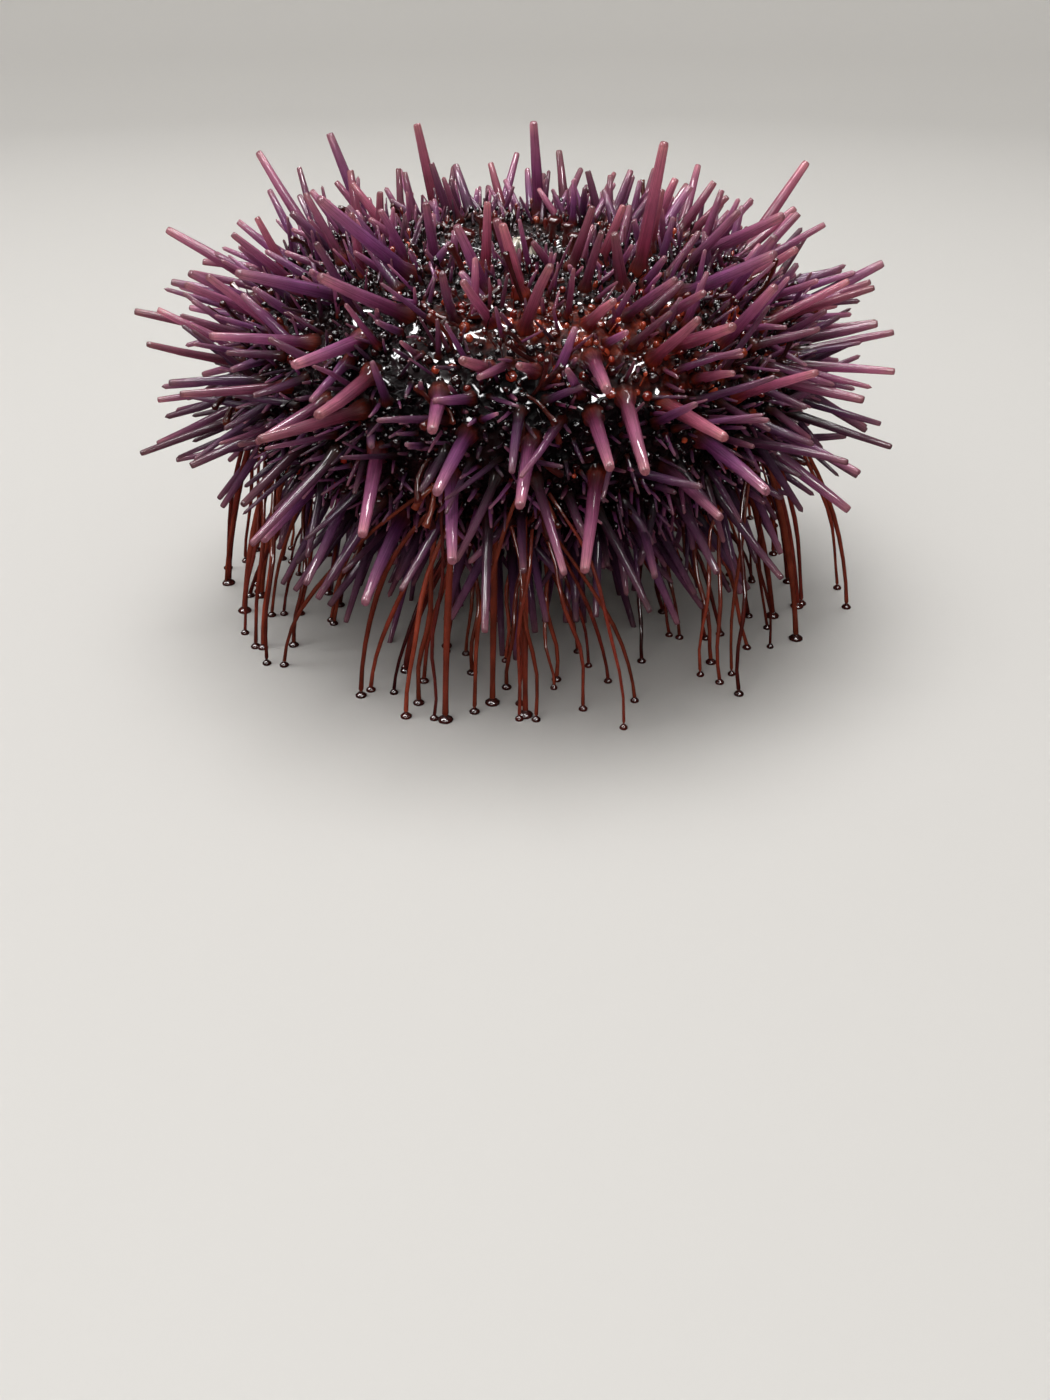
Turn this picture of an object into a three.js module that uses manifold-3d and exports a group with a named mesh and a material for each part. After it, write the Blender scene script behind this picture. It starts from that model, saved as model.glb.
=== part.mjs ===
// Purple sea urchin, life size, mouth side up, resting on the spines of its underside.
// Millimetres, +Z up. The origin is on the floor under the middle of the animal, and -Y is its front.
// A bearing is counted in degrees round the body, from the front towards +X.
// A level is the angle that runs from -90 at the apex underneath, over 0 at the widest ring, to 90 at the mouth.

import * as THREE from "three";
import { mergeVertices } from "three/addons/utils/BufferGeometryUtils.js";
import Module from "manifold-3d";

const wasm = await Module();
wasm.setup();

// Driving dimensions of the test, the rigid shell under the skin
const testRadius = 27;
const widestHeight = 23.5;
const mouthSideRise = 12;
const apexSideDrop = 15;
const mouthSidePower = 2.6;
const apexSidePower = 2.1;
const hollowDepth = 2.2;
const hollowRadius = 8.5;
const roundSegments = 30;
const profileSteps = 12;

// The five-rayed plan
const rays = 5;
const firstRayBearing = -6;
const ambulacrumWidth = 30;
const partGap = 0.3;

// The mouth field and the apex field
const mouthFieldRadius = 9.4;
const mouthFieldDepth = 4;
const mouthOpeningRadius = 3.1;
const toothLength = 5;
const toothWidth = 1.9;
const toothRise = 1.7;
const apexFieldRadius = 5;
const apexFieldDepth = 2.5;
const sievePlateRadius = 1.2;
const sievePlateOffset = 3;
const sievePlateThickness = 1.1;

// The main spines
const spineSpacing = 4.45;
const spineSides = 4;
const spineRadius = 0.58;
const boldShare = 1.16;
const spineTipShare = 0.66;
const spineRoot = 0.7;
const flankSpineLength = 9.9;
const mouthSpineLength = 3.6;
const apexSpineLength = 9.4;
const spineSway = 20;
const mouthSideDroop = 16;
const seamClearance = 1.25;
const edgeClearance = 1.2;
const settleRounds = 40;
const settleStations = 5;
const settleDistance = 2;
const restingLevel = -0.4;

// The boldest spines: bearing, level, swing towards +X side, lift towards the mouth, length
const boldSpines = [
  [172, 64, 2, 22, 9.4],
  [41, 60, -4, -4, 11.4],
  [-118, 34, -6, -8, 12.4],
  [-99, 22, 0, -6, 11.4],
  [-129, 46, 8, 4, 10.2],
  [-152, 52, 10, 10, 9.6],
  [-36, 60, -14, -40, 11.2],
  [-47, 45, 6, -46, 11.4],
  [-26, 43, -20, -38, 10.2],
  [-33, 31, 14, -48, 9.6],
  [-28, 19, 12, -38, 10],
  [-14, 15, 14, -28, 8.4],
  [-9, 3, -4, -10, 9.4],
  [-26, -3, 24, -16, 10.8],
  [-12, -8, 14, -8, 10.6],
  [-27, -33, 8, 28, 10.2],
  [-50, -27, 24, 26, 9],
  [14, 27, -12, -40, 10.2],
  [13, 8, -8, -16, 9.4],
  [19, 13, -16, -34, 10.2],
  [2, 2, -8, -18, 8.8],
  [14, -9, -20, -10, 10.6],
  [27, 9, -4, -12, 9.4],
  [35, -2, -10, 0, 10],
  [66, -20, -6, 4, 10.2],
  [108, 34, 4, -2, 11.2],
  [92, 14, 0, 6, 10],
  [44, 47, -4, -42, 10.8],
  [70, 58, -30, -48, 10.8],
  [33, 29, -10, -26, 8.6],
];

// Tube feet that reach the floor
const footLevels = [-14, -30, -22];
const footBearings = [-6, 1, 7];
const footReaches = [31.5, 28, 30];
const footThickness = 0.56;
const footSteps = 3;
const footDiscRadius = 0.75;
const footDiscHeight = 0.5;
const footDiscSides = 5;

const origin = new THREE.Vector3();
const upward = new THREE.Vector3(0, 0, 1);

// Repeatable pseudo-random numbers between 0 and 1
function numberStream(seed) {
  const modulus = 2147483647;
  let state = seed;
  return () => {
    state = (state * 16807) % modulus;
    return state / modulus;
  };
}

function radians(degrees) {
  return THREE.MathUtils.degToRad(degrees);
}

// Radius and height of the test's outline at a level
function outline(level) {
  const angle = radians(level);
  const top = level >= 0;
  const power = 2 / (top ? mouthSidePower : apexSidePower);
  const reach = top ? mouthSideRise : -apexSideDrop;
  const radius = testRadius * Math.abs(Math.cos(angle)) ** power;
  const hollow = top ? hollowDepth * Math.exp(-((radius / hollowRadius) ** 2)) : 0;
  return [radius, widestHeight + reach * Math.abs(Math.sin(angle)) ** power - hollow];
}

// A point of the test's surface, with the directions away from it, round it and up towards the mouth
function surface(level, bearing) {
  const turn = radians(bearing);
  const outward = new THREE.Vector3(Math.sin(turn), -Math.cos(turn), 0);
  const around = new THREE.Vector3(Math.cos(turn), Math.sin(turn), 0);
  const [radius, height] = outline(level);
  const [lowerRadius, lowerHeight] = outline(level - 0.5);
  const [upperRadius, upperHeight] = outline(level + 0.5);
  const rise = outward
    .clone()
    .multiplyScalar(upperRadius - lowerRadius)
    .addScaledVector(upward, upperHeight - lowerHeight)
    .normalize();
  const away = new THREE.Vector3().crossVectors(around, rise);
  const point = outward.clone().multiplyScalar(radius).addScaledVector(upward, height);
  return { point, away, around, rise };
}

// Levels at equal steps along the outline, from the mouth field to the apex field
function evenLevels(spacing) {
  const fine = 0.25;
  const levels = [];
  let travelled = spacing / 2;
  let last = null;
  for (let level = 90 - fine; level > -90; level -= fine) {
    const [radius, height] = outline(level);
    const edge = (level > 0 ? mouthFieldRadius : apexFieldRadius) + edgeClearance;
    if (radius < edge) {
      continue;
    }
    if (last) {
      travelled += Math.hypot(radius - last[0], height - last[1]);
    }
    last = [radius, height];
    if (travelled >= spacing) {
      travelled -= spacing;
      levels.push(level);
    }
  }
  return levels;
}

// The ten sectors of the test, each with its name and its middle bearing and width
function sectorPlan() {
  const step = 360 / rays;
  const plan = [];
  for (let ray = 0; ray < rays; ray += 1) {
    const middle = firstRayBearing + ray * step;
    plan.push({ name: `ambulacrum_${ray + 1}`, middle, width: ambulacrumWidth, feet: true });
    plan.push({
      name: `interambulacrum_${ray + 1}`,
      middle: middle + step / 2,
      width: step - ambulacrumWidth,
      feet: false,
    });
  }
  return plan;
}

function sectorAt(plan, bearing) {
  const turned = (sector) => Math.abs(((bearing - sector.middle + 540) % 360) - 180);
  return plan.find((sector) => turned(sector) <= sector.width / 2);
}

// A spine's usual length for where it stands
function usualLength(level) {
  const share = Math.abs(level) / 90;
  const poleLength = level > 0 ? mouthSpineLength : apexSpineLength;
  return flankSpineLength + (poleLength - flankSpineLength) * share;
}

function makeSpine(plan, level, bearing, swing, lift, length, radius, bold) {
  const place = surface(level, bearing);
  const direction = place.away
    .clone()
    .addScaledVector(place.around, Math.tan(radians(swing)))
    .addScaledVector(place.rise, Math.tan(radians(lift)))
    .normalize();
  return { sector: sectorAt(plan, bearing).name, base: place.point, direction, length, radius, bold };
}

// Rows of spines round each sector, with the bold ones in place of those that stand too near
function layOutSpines(plan) {
  const random = numberStream(4711);
  const spread = (amount) => (random() * 2 - 1) * amount;
  const bold = boldSpines.map(([bearing, level, swing, lift, length]) =>
    makeSpine(plan, level, bearing, swing, lift, length, spineRadius * boldShare, true),
  );
  const rows = [];
  evenLevels(spineSpacing).forEach((level, row) => {
    const [radius] = outline(level);
    for (const sector of plan) {
      const room = radians(sector.width) * radius - 2 * seamClearance;
      const count = Math.max(1, Math.round((radians(sector.width) * radius) / spineSpacing));
      const stagger = row % 2 ? 0.12 : -0.12;
      for (let index = 0; index < count; index += 1) {
        const share = (index + 0.5 + stagger + spread(0.16)) / count - 0.5;
        const bearing = sector.middle + THREE.MathUtils.radToDeg((share * room) / radius);
        const jitteredLevel = level + spread(1.6);
        const droop = level > 8 ? -mouthSideDroop * Math.sin(radians(Math.min(level * 2, 180))) : 0;
        const swing = spread(spineSway);
        const lift = droop + spread(spineSway);
        const length = usualLength(level) * (1 + spread(0.16));
        const radiusHere = spineRadius * (1 + spread(0.14));
        rows.push(makeSpine(plan, jitteredLevel, bearing, swing, lift, length, radiusHere, false));
      }
    }
  });
  const clear = rows.filter((spine) =>
    bold.every((other) => other.base.distanceTo(spine.base) > spineSpacing * 0.62),
  );
  return [...bold, ...clear];
}

// The line of a tube foot, from the flank down to the floor
function footLine(sector, index) {
  const bearing = sector.middle + footBearings[index];
  const start = surface(footLevels[index], bearing);
  const outward = new THREE.Vector3(Math.sin(radians(bearing)), -Math.cos(radians(bearing)), 0);
  const end = outward.clone().multiplyScalar(footReaches[index]).setZ(footDiscHeight / 2);
  const bend = outward
    .clone()
    .multiplyScalar(footReaches[index] - 1.5)
    .setZ(start.point.z * 0.55);
  const root = start.point.clone().addScaledVector(start.away, -spineRoot);
  return new THREE.QuadraticBezierCurve3(root, bend, end);
}

// Spines that come too near to one another, or to a tube foot, lean apart until they are clear
function settle(spines, feet) {
  const stationsOf = (spine) => {
    const points = [];
    for (let station = 1; station <= settleStations; station += 1) {
      const along = (spine.length * station) / settleStations;
      points.push(spine.base.clone().addScaledVector(spine.direction, along));
    }
    return points;
  };
  const footPoints = feet.flatMap((line) => line.getPoints(8).slice(1));
  const reach = 2 * flankSpineLength + settleDistance;
  for (let round = 0; round < settleRounds; round += 1) {
    const stations = spines.map(stationsOf);
    const pushes = spines.map(() => new THREE.Vector3());
    const push = (index, point, other, share, station) => {
      const gap = point.distanceTo(other);
      if (gap < settleDistance) {
        const lever = settleStations / (station + 1);
        const away = point.clone().sub(other).setLength(Math.max(settleDistance - gap, 0));
        pushes[index].addScaledVector(away, Math.min(lever, 2.5) * share);
      }
    };
    for (let first = 0; first < spines.length; first += 1) {
      for (let second = first + 1; second < spines.length; second += 1) {
        if (spines[first].base.distanceTo(spines[second].base) > reach) {
          continue;
        }
        stations[first].forEach((point, a) =>
          stations[second].forEach((other, b) => {
            push(first, point, other, 0.3, a);
            push(second, other, point, 0.3, b);
          }),
        );
      }
      stations[first].forEach((point, a) => footPoints.forEach((other) => push(first, point, other, 0.5, a)));
    }
    spines.forEach((spine, index) => {
      const ease = spine.bold ? 0.35 : 1;
      const tip = spine.direction.clone().multiplyScalar(spine.length);
      spine.direction = tip.addScaledVector(pushes[index], ease).normalize();
    });
  }
}

// Spines under the body end on the floor
function restOnFloor(spines) {
  for (const spine of spines) {
    const drop = spine.base.z - restingLevel;
    const reached = spine.base.z + spine.direction.z * spine.length;
    if (spine.direction.z < -0.75 && reached < 2.2) {
      spine.length = drop / -spine.direction.z;
    }
  }
}

// A closed geometry as a solid that can be cut and joined
function asSolid(geometry) {
  const bare = geometry.index ? geometry.toNonIndexed() : geometry.clone();
  for (const name of Object.keys(bare.attributes)) {
    if (name !== "position") {
      bare.deleteAttribute(name);
    }
  }
  const merged = mergeVertices(bare, 1e-4);
  const corners = merged.index.array;
  const kept = [];
  for (let i = 0; i < corners.length; i += 3) {
    const [a, b, c] = [corners[i], corners[i + 1], corners[i + 2]];
    if (a !== b && b !== c && c !== a) {
      kept.push(a, b, c);
    }
  }
  return new wasm.Manifold(
    new wasm.Mesh({
      numProp: 3,
      vertProperties: new Float32Array(merged.attributes.position.array),
      triVerts: new Uint32Array(kept),
    }),
  );
}

function asGeometry(solid) {
  const mesh = solid.getMesh();
  const geometry = new THREE.BufferGeometry();
  geometry.setAttribute("position", new THREE.BufferAttribute(new Float32Array(mesh.vertProperties), 3));
  geometry.setIndex(new THREE.BufferAttribute(new Uint32Array(mesh.triVerts), 1));
  return geometry;
}

// A shape turned round the upright axis, from [radius, height] points that start and end on the axis
function turnedSolid(points, segments) {
  const profile = points.map(([radius, height]) => new THREE.Vector2(radius, height));
  const geometry = new THREE.LatheGeometry(profile, segments);
  geometry.rotateX(Math.PI / 2);
  return asSolid(geometry);
}

function upright(radius, low, high, segments) {
  return turnedSolid([[0, low], [radius, low], [radius, high], [0, high]], segments);
}

// The whole test, before it is parted
function testSolid() {
  const points = [];
  for (let step = 0; step <= profileSteps; step += 1) {
    const level = -90 + (180 * step) / profileSteps;
    const [radius, height] = outline(level);
    points.push([step === 0 || step === profileSteps ? 0 : radius, height]);
  }
  return turnedSolid(points, roundSegments);
}

// The room of one sector, a wedge that keeps half a gap to each neighbour
function wedge(sector) {
  const half = radians(sector.width / 2);
  const middle = radians(sector.middle);
  const far = testRadius * 2;
  const apex = partGap / 2 / Math.sin(half);
  const corner = (radius, turn) => [
    Math.sin(middle) * apex + Math.sin(middle + turn) * radius,
    -Math.cos(middle) * apex - Math.cos(middle + turn) * radius,
  ];
  const shape = new THREE.Shape([
    new THREE.Vector2(...corner(0, 0)),
    new THREE.Vector2(...corner(far, -half)),
    new THREE.Vector2(...corner(far, half)),
  ]);
  const height = widestHeight + mouthSideRise + 10;
  return asSolid(new THREE.ExtrudeGeometry(shape, { depth: height, bevelEnabled: false }));
}

// A closed ring of points round the origin that bounds the area of a circle
function evenSection(radius, sides) {
  const corner = radius * Math.sqrt((2 * Math.PI) / (sides * Math.sin((2 * Math.PI) / sides)));
  const points = [];
  for (let side = 0; side < sides; side += 1) {
    const turn = (2 * Math.PI * side) / sides;
    points.push(new THREE.Vector2(corner * Math.cos(turn), corner * Math.sin(turn)));
  }
  return new THREE.Shape(points);
}

// A prism from the floor up, with its upper end drawn in to a share of the lower one
function taperedPrism(radius, sides, length, endShare) {
  const geometry = new THREE.ExtrudeGeometry(evenSection(radius, sides), {
    depth: length,
    bevelEnabled: false,
  });
  const places = geometry.attributes.position;
  for (let index = 0; index < places.count; index += 1) {
    if (places.getZ(index) > length / 2) {
      places.setX(index, places.getX(index) * endShare);
      places.setY(index, places.getY(index) * endShare);
    }
  }
  return geometry;
}

// A blunt, slightly tapered spine that reaches a little into the test
function spineSolid(spine) {
  const geometry = taperedPrism(spine.radius, spineSides, spine.length + spineRoot, spineTipShare);
  geometry.translate(0, 0, -spineRoot);
  const turn = new THREE.Quaternion().setFromUnitVectors(upward, spine.direction);
  const placed = new THREE.Matrix4().compose(spine.base, turn, new THREE.Vector3(1, 1, 1));
  return asSolid(geometry).transform(placed.elements);
}

// A tube foot with its sucker disc flat on the floor
function footSolid(line) {
  const stalk = asSolid(
    new THREE.ExtrudeGeometry(evenSection(footThickness / 2, 4), {
      extrudePath: line,
      steps: footSteps,
      bevelEnabled: false,
    }),
  );
  const end = line.getPoint(1);
  const disc = taperedPrism(footDiscRadius, footDiscSides, footDiscHeight, 0.7);
  disc.translate(end.x, end.y, 0);
  return stalk.add(asSolid(disc));
}

// All that lies under the floor, to be cut away
function underFloor() {
  const size = testRadius * 4;
  const geometry = new THREE.BoxGeometry(size, size, size);
  geometry.translate(0, 0, -size / 2);
  return asSolid(geometry);
}

// One tooth of the mouth: a curved blade that leans in to meet the others at its point
function toothSolid(bearing) {
  const [, floor] = outline(90);
  const half = toothWidth / 2;
  const blade = new THREE.Shape();
  blade.moveTo(0.25, toothRise);
  blade.quadraticCurveTo(1.5, toothRise * 0.7, 2.5, toothRise - toothLength * 0.55);
  blade.lineTo(2.5, toothRise - toothLength);
  blade.lineTo(0.9, toothRise - toothLength);
  blade.lineTo(0.25, toothRise - 1.4);
  const geometry = new THREE.ExtrudeGeometry(blade, { depth: toothWidth, curveSegments: 4, bevelEnabled: false });
  geometry.translate(0, 0, -half);
  geometry.rotateX(Math.PI / 2);
  geometry.rotateZ(radians(bearing - 90));
  geometry.translate(0, 0, floor);
  const toothSector = { middle: bearing, width: 360 / rays };
  return asSolid(geometry).intersect(wedge(toothSector));
}

function finish(color, roughness) {
  return new THREE.MeshStandardMaterial({ color, roughness, metalness: 0 });
}

const urchin = new THREE.Group();

function addPart(name, solid, material) {
  const mesh = new THREE.Mesh(asGeometry(solid), material);
  mesh.name = name;
  urchin.add(mesh);
}

function buildSectors() {
  const plan = sectorPlan();
  const feet = new Map(
    plan.filter((sector) => sector.feet).map((sector) => [
      sector.name,
      footLevels.map((level, index) => footLine(sector, index)),
    ]),
  );
  const spines = layOutSpines(plan);
  settle(spines, [...feet.values()].flat());
  restOnFloor(spines);

  const [, mouthFloor] = outline(80);
  const [, apexFloor] = outline(-90);
  const mouthField = upright(
    mouthFieldRadius + partGap,
    mouthFloor - mouthFieldDepth - partGap,
    widestHeight + mouthSideRise * 2,
    roundSegments,
  );
  const apexField = upright(apexFieldRadius + partGap, 0, apexFloor + apexFieldDepth + partGap, roundSegments);
  const shell = testSolid().subtract(mouthField).subtract(apexField);
  const ground = underFloor();
  for (const sector of plan) {
    const pieces = [
      shell.intersect(wedge(sector)),
      ...spines.filter((spine) => spine.sector === sector.name).map(spineSolid),
      ...(feet.get(sector.name) ?? []).map(footSolid),
    ];
    const solid = wasm.Manifold.union(pieces);
    addPart(sector.name, solid.subtract(ground), finish(sector.feet ? 0x6b3558 : 0x5a2547, 0.5));
  }
}

function buildMouth() {
  const [, mouthFloor] = outline(80);
  const field = testSolid().intersect(
    upright(mouthFieldRadius, mouthFloor - mouthFieldDepth, widestHeight + mouthSideRise * 2, roundSegments),
  );
  const opening = upright(mouthOpeningRadius, 0, widestHeight + mouthSideRise * 2, roundSegments);
  addPart("peristome", field.subtract(opening), finish(0x3a1f26, 0.45));
  for (let tooth = 0; tooth < rays; tooth += 1) {
    const bearing = firstRayBearing + (360 / rays) * (tooth + 0.5);
    addPart(`tooth_${tooth + 1}`, toothSolid(bearing), finish(0xe9e4da, 0.35));
  }
}

function buildApex() {
  const [, apexFloor] = outline(-90);
  const field = testSolid().intersect(upright(apexFieldRadius, 0, apexFloor + apexFieldDepth, roundSegments));
  const turn = radians(firstRayBearing + 36);
  const place = [Math.sin(turn) * sievePlateOffset, -Math.cos(turn) * sievePlateOffset, apexFloor - 0.35];
  const pocket = upright(sievePlateRadius + partGap, -1, sievePlateThickness + partGap, 10).translate(place);
  addPart("apical_disc", field.subtract(pocket), finish(0x4a2233, 0.5));
  const plate = upright(sievePlateRadius, 0, sievePlateThickness, 10).translate(place);
  addPart("madreporite", plate, finish(0x8a5a52, 0.6));
}

buildSectors();
buildMouth();
buildApex();

// The middle of the animal's outline stands over the origin
const extent = new THREE.Box3().setFromObject(urchin);
const middle = extent.getCenter(origin.clone());
urchin.position.set(-middle.x, -middle.y, 0);

export default urchin;
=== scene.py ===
# Purple sea urchin, life size, mouth side up, resting on its lowest spines and the discs of tube feet
import math

import bmesh
import bpy
import numpy as np
from mathutils import Matrix, Vector, noise


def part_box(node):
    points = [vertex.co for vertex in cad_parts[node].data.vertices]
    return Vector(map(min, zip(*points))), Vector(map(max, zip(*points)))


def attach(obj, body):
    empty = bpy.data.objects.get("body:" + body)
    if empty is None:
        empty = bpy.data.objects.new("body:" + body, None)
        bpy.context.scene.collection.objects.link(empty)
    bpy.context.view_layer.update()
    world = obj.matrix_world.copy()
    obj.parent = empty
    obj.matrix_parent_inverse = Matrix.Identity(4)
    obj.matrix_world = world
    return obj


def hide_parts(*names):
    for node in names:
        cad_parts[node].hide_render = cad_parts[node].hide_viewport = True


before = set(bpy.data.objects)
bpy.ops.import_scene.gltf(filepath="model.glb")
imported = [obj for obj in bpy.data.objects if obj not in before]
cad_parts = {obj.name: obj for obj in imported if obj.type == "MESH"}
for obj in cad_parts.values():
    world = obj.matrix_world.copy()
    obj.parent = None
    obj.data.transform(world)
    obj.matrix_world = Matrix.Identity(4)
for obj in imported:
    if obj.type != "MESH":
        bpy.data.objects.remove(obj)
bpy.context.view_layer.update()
mm = 0.001

# The shell's shape, in millimetres and degrees, as the CAD model has it
shell = {
    "radius": 27,
    "widestHeight": 23.5,
    "mouthSideRise": 12,
    "apexSideDrop": 15,
    "mouthSidePower": 2.6,
    "apexSidePower": 2.1,
    "hollowDepth": 2.2,
    "hollowRadius": 8.5,
    "rays": 5,
    "firstRayBearing": -6,
    "ambulacrumWidth": 30,
    "mouthFieldRadius": 9.4,
    "apexFieldRadius": 5,
    "mouthMargin": 0.8,
    "apexMargin": 0.5,
}
bakeDiscs = {"radius": 0.24, "mouthSide": 0.25, "apexSide": 0.75, "middle": 0.5}

# The peristome is round, so its middle gives the axis of the body
mouthLow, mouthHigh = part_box("peristome")
axisPlace = np.array([(mouthLow.x + mouthHigh.x) / 2, (mouthLow.y + mouthHigh.y) / 2, 0])


def toScene(places):
    # millimetres about the body's axis to metres in the frame
    return np.asarray(places, float) * mm + axisPlace


def toLinear(colour):
    # a colour as it looks on a screen, 0 to 255, to the numbers a shader takes
    share = np.asarray(colour, float) / 255
    return np.where(share <= 0.04045, share / 12.92, ((share + 0.055) / 1.055) ** 2.4)


def unit(vectors):
    return vectors / np.maximum(np.linalg.norm(vectors, axis=-1, keepdims=True), 1e-12)


def numberStream(seed):
    state = [seed]

    def draw():
        state[0] = (state[0] * 16807) % 2147483647
        return state[0] / 2147483647

    return draw


def outline(level):
    # radius and height at a level, which runs from -90 at the apex to 90 at the mouth
    angle = np.radians(level)
    top = np.asarray(level) >= 0
    power = np.where(top, 2 / shell["mouthSidePower"], 2 / shell["apexSidePower"])
    reach = np.where(top, shell["mouthSideRise"], -shell["apexSideDrop"])
    radius = shell["radius"] * np.abs(np.cos(angle)) ** power
    hollow = np.where(top, shell["hollowDepth"] * np.exp(-((radius / shell["hollowRadius"]) ** 2)), 0)
    return radius, shell["widestHeight"] + reach * np.abs(np.sin(angle)) ** power - hollow


def surface(level, bearing):
    # points of the shell, and the directions away from it, round it and up towards the mouth
    level, bearing = np.broadcast_arrays(np.asarray(level, float), np.asarray(bearing, float))
    turn = np.radians(bearing)
    flat = np.zeros_like(turn)
    outward = np.stack([np.sin(turn), -np.cos(turn), flat], -1)
    around = np.stack([np.cos(turn), np.sin(turn), flat], -1)
    upward = np.array([0, 0, 1.0])
    radius, height = outline(level)
    lowerRadius, lowerHeight = outline(level - 0.5)
    upperRadius, upperHeight = outline(level + 0.5)
    rise = outward * (upperRadius - lowerRadius)[..., None] + upward * (upperHeight - lowerHeight)[..., None]
    rise = unit(rise)
    point = outward * radius[..., None] + upward * height[..., None]
    return point, np.cross(around, rise), around, rise


# The shell's outline as a table of arc length, for even scattering
fineLevels = np.linspace(-89.9, 89.9, 1440)
fineRadius, fineHeight = outline(fineLevels)
fineArc = np.concatenate([[0], np.cumsum(np.hypot(np.diff(fineRadius), np.diff(fineHeight)))])
widestArc = np.interp(0, fineLevels, fineArc)


def bakePlace(level, bearing, top=None):
    # the shell unwrapped as two discs side by side, the mouth's side and the apex's
    arc = np.interp(level, fineLevels, fineArc)
    top = arc >= widestArc if top is None else top
    share = np.where(top, (fineArc[-1] - arc) / (fineArc[-1] - widestArc), arc / widestArc)
    reach = share * bakeDiscs["radius"]
    turn = np.radians(bearing)
    across = np.where(top, bakeDiscs["mouthSide"], bakeDiscs["apexSide"]) + reach * np.sin(turn)
    return np.stack([across, bakeDiscs["middle"] - reach * np.cos(turn)], -1)


# Main spines, laid out by the same rule as the CAD model's
mainSpines = {
    "seed": 4711,
    "spacing": 4.45,
    "radius": 0.58,
    "root": 0.7,
    "flankLength": 9.9,
    "mouthLength": 3.6,
    "apexLength": 9.4,
    "sway": 20,
    "stagger": 0.12,
    "alongSpread": 0.16,
    "levelSpread": 1.6,
    "lengthSpread": 0.16,
    "radiusSpread": 0.14,
    "droop": 16,
    "droopFrom": 8,
    "seamClearance": 1.25,
    "edgeClearance": 1.2,
    "rounds": 40,
    "stations": 5,
    "distance": 2,
    "leverLimit": 2.5,
    "push": 0.3,
    "footPush": 0.5,
    "restingLevel": -0.4,
    "restingSlope": -0.75,
    "restingReach": 2.2,
    "boldShare": 1.16,
    "boldEase": 0.35,
    "clearOfBold": 0.62,
    "bold": [  # bearing, level, swing, lift, length
        (172, 64, 2, 22, 9.4),
        (41, 60, -4, -4, 11.4),
        (-118, 34, -6, -8, 12.4),
        (-99, 22, 0, -6, 11.4),
        (-129, 46, 8, 4, 10.2),
        (-152, 52, 10, 10, 9.6),
        (-36, 60, -14, -40, 11.2),
        (-47, 45, 6, -46, 11.4),
        (-26, 43, -20, -38, 10.2),
        (-33, 31, 14, -48, 9.6),
        (-28, 19, 12, -38, 10),
        (-14, 15, 14, -28, 8.4),
        (-9, 3, -4, -10, 9.4),
        (-26, -3, 24, -16, 10.8),
        (-12, -8, 14, -8, 10.6),
        (-27, -33, 8, 28, 10.2),
        (-50, -27, 24, 26, 9),
        (14, 27, -12, -40, 10.2),
        (13, 8, -8, -16, 9.4),
        (19, 13, -16, -34, 10.2),
        (2, 2, -8, -18, 8.8),
        (14, -9, -20, -10, 10.6),
        (27, 9, -4, -12, 9.4),
        (35, -2, -10, 0, 10),
        (66, -20, -6, 4, 10.2),
        (108, 34, 4, -2, 11.2),
        (92, 14, 0, 6, 10),
        (44, 47, -4, -42, 10.8),
        (70, 58, -30, -48, 10.8),
        (33, 29, -10, -26, 8.6),
    ],
}
# Tube feet that the CAD model has too: level, bearing from the ray's middle, reach over the floor
restingFeet = {
    "levels": (-14, -30, -22),
    "bearings": (-6, 1, 7),
    "reaches": (31.5, 28, 30),
    "discHeight": 0.5,
    "bendInset": 1.5,
    "stations": 8,
}


def evenLevels(spacing):
    fine = 0.25
    levels = []
    travelled = spacing / 2
    last = None
    level = 90 - fine
    while level > -90:
        radius, height = (float(x) for x in outline(level))
        edge = shell["mouthFieldRadius" if level > 0 else "apexFieldRadius"] + mainSpines["edgeClearance"]
        if radius >= edge:
            if last:
                travelled += math.hypot(radius - last[0], height - last[1])
            last = (radius, height)
            if travelled >= spacing:
                travelled -= spacing
                levels.append(level)
        level -= fine
    return levels


def sectorPlan():
    step = 360 / shell["rays"]
    plan = []
    for ray in range(shell["rays"]):
        middle = shell["firstRayBearing"] + ray * step
        plan.append({"middle": middle, "width": shell["ambulacrumWidth"]})
        plan.append({"middle": middle + step / 2, "width": step - shell["ambulacrumWidth"]})
    return plan


def usualLength(level):
    share = abs(level) / 90
    pole = mainSpines["mouthLength" if level > 0 else "apexLength"]
    return mainSpines["flankLength"] + (pole - mainSpines["flankLength"]) * share


def leaning(level, bearing, swing, lift):
    point, away, around, rise = surface(level, bearing)
    swingShare = np.tan(np.radians(swing))[..., None]
    liftShare = np.tan(np.radians(lift))[..., None]
    return point, unit(away + around * swingShare + rise * liftShare)


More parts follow.
